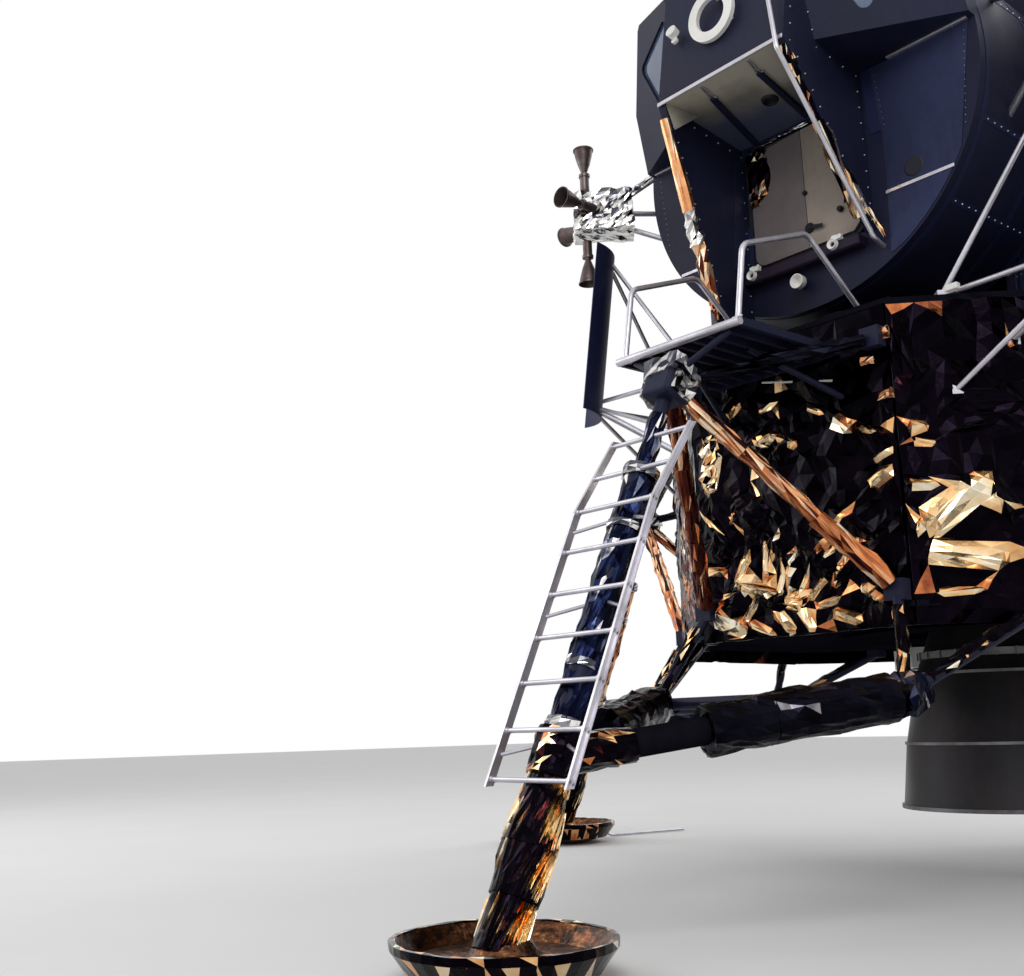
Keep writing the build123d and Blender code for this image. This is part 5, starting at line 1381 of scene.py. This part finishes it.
class LANDER_OT_thrusters(bpy.types.Operator):
    """Wrap the thruster clusters in silver foil and ring their nozzles"""
    bl_idname = "lander.thrusters"
    bl_label = "Thruster clusters"

    def execute(self, context):
        picker = random.Random(settings().seed + 4)
        wide, deep, high = CLUSTER_SIZE
        foil, rings = bmesh.new(), bmesh.new()
        for sx, sy in CORNERS:
            place = (Matrix.Translation((sx * CLUSTER_PLACE, sy * CLUSTER_PLACE, CLUSTER_HIGH))
                     @ Matrix.Rotation(math.radians(45 * sx * sy), 4, "Z"))
            joined(foil, crumpled_block((wide - 0.012, deep - 0.012, high - 0.05), picker, 0.05, 0.011,
                                        lit_tone(0.38, 0.55)), place)
            joined(foil, crumpled_block((wide + 0.004, deep + 0.004, 0.075), picker, 0.045, 0.008,
                                        even_tone(0.72, 1.0)), place @ Matrix.Translation((0, 0, -high / 2 + 0.045)))
            joined(foil, crumpled_sleeve((sx * 1.60, sy * 1.60, CLUSTER_HIGH + 0.11),
                                         (sx * 1.35, sy * 1.46, CLUSTER_HIGH + 0.27), 0.026, picker, 0.05, 0.3,
                                         lit_tone(0.3), 0.021, 7))
            shift = 0.125 * math.sqrt(0.5)
            middle = Vector((sx * CLUSTER_PLACE, sy * CLUSTER_PLACE, CLUSTER_HIGH))
            upright = middle + Vector((sx * shift, sy * shift, 0))
            mouths = ((upright, (0, 0, 1), 0.53), (upright, (0, 0, -1), 0.53),
                      (middle + Vector((sx * 0.04, -sy * 0.04, 0)), (sx, 0, 0), 0.42),
                      (middle + Vector((-sx * 0.04, sy * 0.04, 0)), (0, sy, 0), 0.42))
            for base, out, reach in mouths:
                turn = Vector(out).to_track_quat("Z", "Y").to_matrix().to_4x4()
                at = Matrix.Translation(base + Vector(out) * reach) @ turn
                add_turned(rings, [(0.069, 0), (0.076, 0), (0.076, -0.010), (0.072, -0.012)], at, 32, True)
                add_turned(rings, [(0.034, -0.20), (0.041, -0.20), (0.041, -0.222), (0.034, -0.222)], at, 24, True)
        finish_piece(foil, "cluster_foil", foil_silver(), replaces=("rcs_clusters",), sharp=None)
        finish_piece(rings, "nozzle_rings", thruster_metal())
        return {"FINISHED"}


# Porch and front fittings
class LANDER_OT_porch(bpy.types.Operator):
    """Add the porch's bright front bar, its walkway strips and the lamps and cups round it"""
    bl_idname = "lander.porch"
    bl_label = "Porch"

    def execute(self, context):
        front, half, top = -2.950, 0.425, 3.015
        bm = bmesh.new()
        add_rod(bm, (-half - 0.002, front, top - 0.021), (half + 0.002, front, top - 0.021), 0.0225, 20)
        for x in (-0.395, 0.395):
            add_box(bm, (x, front + 0.03, top - 0.012), (0.05, 0.06, 0.03), None, 0.004)
            add_rod(bm, (x - 0.03, front + 0.02, top + 0.01), (x + 0.03, front + 0.02, top + 0.01), 0.006, 10)
        finish_piece(bm, "porch_bar", bare_alloy())
        bm = bmesh.new()
        for step in range(12):
            y = front + 0.07 + step * 0.07
            add_box(bm, (0, y, top + 0.0015), (2 * half - 0.06, 0.028, 0.003))
        finish_piece(bm, "porch_strips", dark_panel())
        bm = bmesh.new()
        add_turned(bm, [(0, 0.0), (0.022, 0.0), (0.042, 0.030), (0.045, 0.075), (0.040, 0.075), (0.030, 0.032), (0, 0.02)],
                   Matrix.Translation((-0.03, -1.715, 3.62)) @ Matrix.Rotation(math.pi / 2, 4, "X"), 24)
        for place, reach, wide in (((-0.33, -2.400, 5.19), 0.045, 0.034), ((-0.33, -2.395, 5.145), 0.020, 0.02)):
            out = Vector((0, -0.95, 0.30)).to_track_quat("Z", "Y").to_matrix().to_4x4()
            add_turned(bm, [(0, 0), (wide, 0), (wide * 1.1, reach), (wide * 0.8, reach + 0.004), (0, reach * 0.7)],
                       Matrix.Translation(place) @ out, 20)
        finish_piece(bm, "lamps", white_paint())
        return {"FINISHED"}


# Ladder
class LANDER_OT_ladder(bpy.types.Operator):
    """Add the ladder's rung collars and rail bolts"""
    bl_idname = "lander.ladder"
    bl_label = "Ladder fittings"

    def execute(self, context):
        lean = math.atan2(APEX.y - FOOT_JOINT.y, APEX.z - FOOT_JOINT.z)
        bm = bmesh.new()
        for step in range(7):
            z = 0.795 + step * 0.212
            y = FOOT_JOINT.y - 0.105 / math.cos(lean) + (z - FOOT_JOINT.z) * math.tan(lean)
            for side in (1, -1):
                add_rod(bm, (side * 0.256, y, z), (side * 0.242, y, z), 0.0165, 14)
                add_rod(bm, (side * 0.270, y, z), (side * 0.2735, y, z), 0.010, 8)
        finish_piece(bm, "rung_collars", bare_alloy())
        return {"FINISHED"}


# Pieces on the moving bodies and on the other sides
class LANDER_OT_engine(bpy.types.Operator):
    """Ring the descent nozzle with stiffening bands, and foil the heat shield round it"""
    bl_idname = "lander.engine"
    bl_label = "Engine bands"

    def execute(self, context):
        picker = random.Random(settings().seed + 5)
        part = bmesh.new()
        # columns: height, outside radius there, half height
        for level, radius, reach in ((0.462, 0.640, 0.012), (0.86, 0.587, 0.009), (1.30, 0.490, 0.009),
                                     (1.42, 0.452, 0.022)):
            add_turned(part, [(radius - 0.006, level - reach), (radius + 0.012, level - reach),
                              (radius + 0.012, level + reach), (radius - 0.006, level + reach)], None, 72, True)
        for turn in range(24):
            angle = math.radians(15 * turn)
            radius = 0.452 + 0.012
            add_box(part, (radius * math.cos(angle), radius * math.sin(angle), 1.42), (0.016, 0.012, 0.05),
                    Matrix.Rotation(angle, 4, "Z"))
        finish_piece(part, "nozzle_bands", engine_metal(), body="engine")
        part = bmesh.new()
        shield = foil_ring([(0.575, 1.569), (0.60, 1.556), (0.95, 1.553)], picker, 40)
        joined(part, shield)
        # The shield foil is dead black as painted shade.
        finish_piece(part, "shield_foil", painted_shade_black(), sharp=None)
        return {"FINISHED"}


class LANDER_OT_bays(bpy.types.Operator):
    """Fill the equipment bays: packages on the pallet, folded foil on the door, foil round the openings"""
    bl_idname = "lander.bays"
    bl_label = "Equipment bays"

    def execute(self, context):
        picker = random.Random(settings().seed + 6)
        turn = CORNER_TURNS["starboard_front"]
        board, part, soft, straps = bmesh.new(), bmesh.new(), bmesh.new(), bmesh.new()
        front = at_face(1.9298, 0.0, turn)
        joined(board, rounded_package(1.08, 0.94, 0.035, 0.004), front @ Matrix.Translation((0, 0.0175, 2.135)))
        for across in (-0.525, 0.525):
            joined(board, rounded_package(0.03, 0.86, 0.24, 0.004), front @ Matrix.Translation((across, 0.14, 2.10)))
        add_rod(board, front @ Vector((-0.54, 0.013, 1.66)), front @ Vector((0.54, 0.013, 1.66)), 0.013, 16)
        finish_piece(board, "pallet_board", dark_panel(), body="pallet",
                     replaces=("equipment_pallet",))
        # columns: across, level, wide, high, deep
        for across, level, wide, high, deep in ((-0.29, 2.29, 0.38, 0.36, 0.28), (0.23, 2.31, 0.48, 0.32, 0.24),
                                                (-0.30, 1.88, 0.36, 0.38, 0.30), (0.19, 1.89, 0.54, 0.40, 0.27)):
            joined(soft if across > 0 else part, rounded_package(wide, high, deep, 0.025 if across > 0 else 0.012),
                   front @ Matrix.Translation((across, 0.035 + deep / 2, level)))
            for offset in (-0.3, 0.3):
                joined(straps, rounded_package(0.03, high + 0.010, deep + 0.010, 0.002),
                       front @ Matrix.Translation((across + offset * wide, 0.035 + deep / 2, level)))
        finish_piece(part, "pallet_boxes", white_paint(), body="pallet")
        finish_piece(soft, "pallet_bundles", tan_panel(), body="pallet")
        finish_piece(straps, "pallet_straps", black_paint(), body="pallet")
        part = bmesh.new()
        joined(part, folded_cover(1.04, 0.86, picker, 0.3), at_face(1.9305, 2.145, turn))
        finish_piece(part, "pallet_cover", foil_copper(), body="pallet", sharp=None)
        part = bmesh.new()
        joined(part, folded_cover(1.05, 1.13, picker, 0.5), at_face(1.9305, 2.225, CORNER_TURNS["port_aft"]))
        finish_piece(part, "door_foil", foil_gold(), body="bay_door", sharp=None)
        part = bmesh.new()
        for name, high in (("starboard_front", 2.62), ("port_aft", 2.90)):
            for across, level, wide, tall in ((-0.76, 2.40, 0.38, 1.58), (0.76, 2.40, 0.38, 1.58),
                                              (0.0, (high + 3.196) / 2 + 0.02, 1.14, 3.16 - high)):
                joined(part, folded_cover(wide, tall, picker, 0.5),
                       at_face(CORNER_REACH - 0.002, level, CORNER_TURNS[name]) @ Matrix.Translation((across, 0, 0)))
        finish_piece(part, "equipment_bay_blankets", foil_gold(), sharp=None)
        part = bmesh.new()
        joined(part, folded_cover(0.47, 0.13, picker, 0.4), at_face(1.602, 1.47, CORNER_TURNS["starboard_aft"]))
        for place in ((-0.14, 1.22), (0.14, 1.22), (-0.14, 1.46), (0.14, 1.46)):
            add_turned(part, [(0.0, -0.012), (0.075, -0.012), (0.075, 0.004), (0.0, 0.004)],
                       Matrix.Rotation(CORNER_TURNS["starboard_aft"] + math.pi / 2, 4, "Z")
                       @ Matrix.Translation((place[0], -place[1], 1.392)), 28, False)
        finish_piece(part, "radar_horns", foil_silver(), body="ground_radar")
        return {"FINISHED"}


def rounded_package(wide, high, deep, soften=0.015):
    part = bmesh.new()
    add_box(part, (0, 0, 0), (wide, deep, high), None, soften, 2)
    return part


def folded_cover(wide, high, picker, share, depth=0.02):
    """A small blanket with folds strewn evenly over it."""
    folds = random_folds(wide, high, max(6, int(wide * high * 34)), picker, share, 0.75, depth)
    return folded_sheet(wide, high, folds, picker, depth * 0.4, 0.09)


# Ascent stage
class LANDER_OT_cladding(bpy.types.Operator):
    """Clad the flat sides of the tank housings, the middle section and the aft bay with riveted sheets"""
    bl_idname = "lander.cladding"
    bl_label = "Cladding"

    def execute(self, context):
        picker = random.Random(settings().seed + 7)
        sheets, patches, heads = bmesh.new(), bmesh.new(), bmesh.new()
        # columns: node, planes that cut its sides up, as pairs of point and normal
        for name, cuts in (("aft_bay", (((0, 0, 0), (1, 0, 0)), ((0, 0, 4.42), (0, 0, 1)), ((0, 1.27, 0), (0, 1, 0)))),
                           ("fuel_fairing", (((1.12, 0, 0), (1, 0, 0)), ((0, 0, 0), (0, 1, 0)),
                                             ((0, 0, 4.42), (0, 0, 1)))),
                           ("oxidizer_fairing", (((-1.12, 0, 0), (1, 0, 0)), ((0, 0, 0), (0, 1, 0)),
                                                 ((0, 0, 4.42), (0, 0, 1)))),
                           ("midsection", (((0, 0.56, 0), (0, 1, 0)),))):
            for outline, out in flat_sides(name, cuts):
                add_sheet(patches if picker.random() < 0.3 else sheets, outline, out, 0.005)
                rivet_outline(heads, outline, out)
        finish_piece(sheets, "ascent_sheets", dark_panel())
        finish_piece(patches, "ascent_patches", grey_panel())
        finish_piece(heads, "ascent_rivets", bare_alloy())
        return {"FINISHED"}


def flat_sides(name, cuts, gap=0.014, least=0.02):
    """The outward flat sides of a node, cut up by planes and each drawn in a little."""
    bm = bmesh.new()
    bm.from_mesh(frame["nodes"][name].data)
    bmesh.ops.remove_doubles(bm, verts=bm.verts, dist=1e-4)
    tree = BVHTree.FromBMesh(bm)
    bmesh.ops.dissolve_limit(bm, angle_limit=math.radians(1), verts=bm.verts, edges=bm.edges)
    for place, normal in cuts:
        bmesh.ops.bisect_plane(bm, geom=bm.verts[:] + bm.edges[:] + bm.faces[:], dist=1e-4, plane_co=place,
                               plane_no=normal)
    sides = []
    for face in bm.faces:
        middle = face.calc_center_median()
        if face.calc_area() > least and len(face.verts) < 9 and tree.ray_cast(middle + face.normal * 0.004,
                                                                              face.normal, 3.0)[0] is None:
            sides.append(face)
    drawn = bmesh.ops.inset_individual(bm, faces=sides, thickness=gap, use_even_offset=True)
    found = [([vert.co.copy() for vert in face.verts], face.normal.copy()) for face in sides if face.is_valid]
    bm.free()
    return found


def add_sheet(bm, outline, out, thick):
    """A sheet on an outline, its outer edge a little drawn in."""
    middle = sum(outline, Vector()) / len(outline)
    low = [bm.verts.new(point - out * 0.002) for point in outline]
    high = [bm.verts.new(point.lerp(middle, 0.006 / max(0.05, (point - middle).length)) + out * thick)
            for point in outline]
    bm.faces.new(high)
    bm.faces.new(reversed(low))
    for index in range(len(outline)):
        bm.faces.new((low[index - 1], low[index], high[index], high[index - 1]))


def rivet_outline(bm, outline, out, inset=0.022, spacing=0.10):
    middle = sum(outline, Vector()) / len(outline)
    corners = [point.lerp(middle, min(0.4, 1.4 * inset / (point - middle).length)) for point in outline]
    for first, last in zip(corners, corners[1:] + corners[:1]):
        count = int((last - first).length / spacing)
        if count > 1:
            add_rivets(bm, first + out * 0.005, last + out * 0.005, count, 0.0055, out)


class LANDER_OT_cabin(bpy.types.Operator):
    """Band the cabin's barrel with seam straps and frame its roof window"""
    bl_idname = "lander.cabin"
    bl_label = "Cabin straps"

    def execute(self, context):
        bm, heads = bmesh.new(), bmesh.new()
        upright = Matrix.Translation((0, 0, 4.65)) @ Matrix.Rotation(math.radians(90), 4, "X")
        for y in (-0.715, -1.00, -1.62):
            add_turned(bm, [(1.196, -y - 0.018), (1.2035, -y - 0.018), (1.2035, -y + 0.018), (1.196, -y + 0.018)],
                       upright, 120, True)
        for degrees in (22, 40, 86, 112, 138, 158, 200, 222, 318, 340):
            around = Matrix.Translation((0, 0, 4.65)) @ Matrix.Rotation(math.radians(-degrees), 4, "Y")
            part = bmesh.new()
            add_box(part, (1.1985, -1.165, 0), (0.008, 0.89, 0.036))
            add_rivets(heads, *(around @ Vector((1.2025, y, 0)) for y in (-0.76, -1.56)), 12, 0.006,
                       around.to_3x3() @ Vector((1, 0, 0)))
            joined(bm, part, around)
        for outline, out in flat_sides("front_face", (), least=0.1):
            if out.z > 0.25 or abs(out.x) > 0.8:
                rivet_outline(heads, outline, out, 0.03, 0.09)
        finish_piece(bm, "cabin_straps", navy_panel())
        finish_piece(heads, "cabin_rivets", bare_alloy())
        bm = bmesh.new()
        for outline, out in flat_sides("window_panes", (), gap=0.001, least=0.008):
            for first, last in zip(outline, outline[1:] + outline[:1]):
                add_bar(bm, first + out * 0.003, last + out * 0.003, 0.026, 0.010, out, 0.002)
        finish_piece(bm, "window_frames", black_paint())
        return {"FINISHED"}


class LANDER_OT_top(bpy.types.Operator):
    """Fit out the top: docking ring and latches, hatch handle, deck blankets, feeds of both dishes"""
    bl_idname = "lander.top"
    bl_label = "Top fittings"

    def execute(self, context):
        picker = random.Random(settings().seed + 8)
        bm = bmesh.new()
        add_turned(bm, [(0.415, 6.158), (0.455, 6.158), (0.480, 6.166), (0.480, 6.180), (0.455, 6.188), (0.415, 6.184)],
                   None, 72, True)
        for turn in range(12):
            way = Matrix.Rotation(math.radians(30 * turn + 15), 4, "Z")
            add_box(bm, way @ Vector((0.474, 0, 6.13)), (0.022, 0.045, 0.07), way, 0.004)
        finish_piece(bm, "docking_ring", bare_alloy())
        bm = bmesh.new()
        add_bent_tube(bm, [(-0.11, -0.16, 5.70), (-0.11, -0.16, 5.745), (0.11, -0.16, 5.745), (0.11, -0.16, 5.70)],
                      0.008)
        add_turned(bm, [(0, 0.0), (0.045, 0.0), (0.045, 0.03), (0, 0.036)], Matrix.Translation((0.17, 0.12, 5.70)), 24)
        for turn in range(16):
            way = Matrix.Rotation(math.radians(22.5 * turn), 4, "Z")
            add_rod(bm, way @ Vector((0.355, 0, 5.70)), way @ Vector((0.355, 0, 5.712)), 0.009, 8)
        finish_piece(bm, "hatch_fittings", bare_alloy(), body="overhead_hatch")
        bm = bmesh.new()
        flat = Matrix.Rotation(math.radians(-90), 4, "X")
        # columns: turns, width, reach of the middle
        for turns, wide, reach in ((CORNER_TURNS.values(), 1.88, 1.635), (QUARTERS, 1.34, 1.77)):
            for turn in turns:
                joined(bm, folded_cover(wide, 0.56, picker, 0.10, 0.014),
                       Matrix.Rotation(turn + math.pi / 2, 4, "Z") @ Matrix.Translation((0, -reach, 3.2265)) @ flat)
        finish_piece(bm, "deck_blankets", foil_black(), sharp=None)
        for name, body, middle, radius, reach in (("radar_feed", "radar_dish", (0, -1.63, 6.56), 0.27, 0.20),
                                                  ("antenna_feed", "antenna_dish", (-1.25, -1.74, 6.655), 0.27, 0.17)):
            bm, centre = bmesh.new(), Vector(middle)
            tip = centre + Vector((0, -reach, 0))
            for turn in range(4):
                angle = math.radians(45 + 90 * turn)
                foot = centre + Vector((radius * math.cos(angle), 0.004, radius * math.sin(angle)))
                add_rod(bm, foot, tip + Vector((0.03 * math.cos(angle), 0.01, 0.03 * math.sin(angle))), 0.005, 10)
            add_turned(bm, [(0, -0.012), (0.052, -0.012), (0.046, 0.010), (0, 0.016)],
                       Matrix.Translation(tip) @ Matrix.Rotation(math.radians(90), 4, "X"), 28)
            for step in (0.02, 0.055):
                add_turned(bm, [(0, -0.012), (0.030 - step * 0.2, -0.012), (0.030 - step * 0.2, 0.012), (0, 0.012)],
                           Matrix.Translation(centre + Vector((0, 0.05 - step, 0))) @ Matrix.Rotation(math.pi / 2, 4, "X"), 20)
            finish_piece(bm, name, bare_alloy(), body=body)
        return {"FINISHED"}


class LANDER_OT_small(bpy.types.Operator):
    """Add the small lit fittings and foil bits round the porch, the front bay and the nearest corner"""
    bl_idname = "lander.small"
    bl_label = "Small fittings"

    def execute(self, context):
        picker = random.Random(settings().seed + 9)
        bm = bmesh.new()
        for place in ((0.489, -1.83, 3.249), (0.963, -1.84, 3.248)):
            add_box(bm, place, (0.075, 0.035, 0.035), Matrix.Rotation(picker.uniform(-0.4, 0.4), 4, "Z"), 0.004)
        add_rod(bm, (-0.118, -2.078, 2.953), (0.347, -2.078, 2.847), 0.006, 10)
        finish_piece(bm, "white_fittings", white_paint())
        bm = bmesh.new()
        for place, size in (((0.572, -2.075, 2.901), 0.07), ((0.66, -2.075, 3.031), 0.09), ((0.66, -2.075, 2.692), 0.08)):
            joined(bm, crumpled_block((size, 0.03, size * 0.6), picker, 0.03, 0.010, lit_tone(0.3)),
                   Matrix.Translation(place))
        finish_piece(bm, "foil_bits", foil_copper(), sharp=None)
        return {"FINISHED"}


OPERATORS = (LANDER_OT_finishes, LANDER_OT_blankets, LANDER_OT_hatch, LANDER_OT_recess, LANDER_OT_edge_foil,
             LANDER_OT_cheeks, LANDER_OT_legs, LANDER_OT_thrusters, LANDER_OT_porch, LANDER_OT_ladder, LANDER_OT_engine, LANDER_OT_bays,
             LANDER_OT_cladding, LANDER_OT_cabin, LANDER_OT_top, LANDER_OT_small,
             LANDER_OT_stage)


class LANDER_PT_panel(bpy.types.Panel):
    """Lists the lander's settings and the operators that make its pieces"""
    bl_idname = "LANDER_PT_panel"
    bl_label = "Lander"
    bl_space_type = "VIEW_3D"
    bl_region_type = "UI"
    bl_category = "Lander"

    def draw(self, context):
        chosen = context.scene.lander
        for group in (chosen.foil, chosen.paint, chosen.stage):
            box = self.layout.box()
            for name in group.__annotations__:
                box.prop(group, name)
        for operator in OPERATORS:
            self.layout.operator(operator.bl_idname)


CLASSES = (FoilSettings, PaintSettings, StageSettings, LanderSettings, LANDER_PT_panel) + OPERATORS


def register():
    for made in CLASSES:
        bpy.utils.register_class(made)
    bpy.types.Scene.lander = PointerProperty(type=LanderSettings)


def unregister():
    del bpy.types.Scene.lander
    for made in reversed(CLASSES):
        bpy.utils.unregister_class(made)


def main():
    register()
    for operator in OPERATORS:
        group, name = operator.bl_idname.split(".")
        getattr(getattr(bpy.ops, group), name)()
    bpy.context.view_layer.update()


if __name__ == "__main__":
    main()
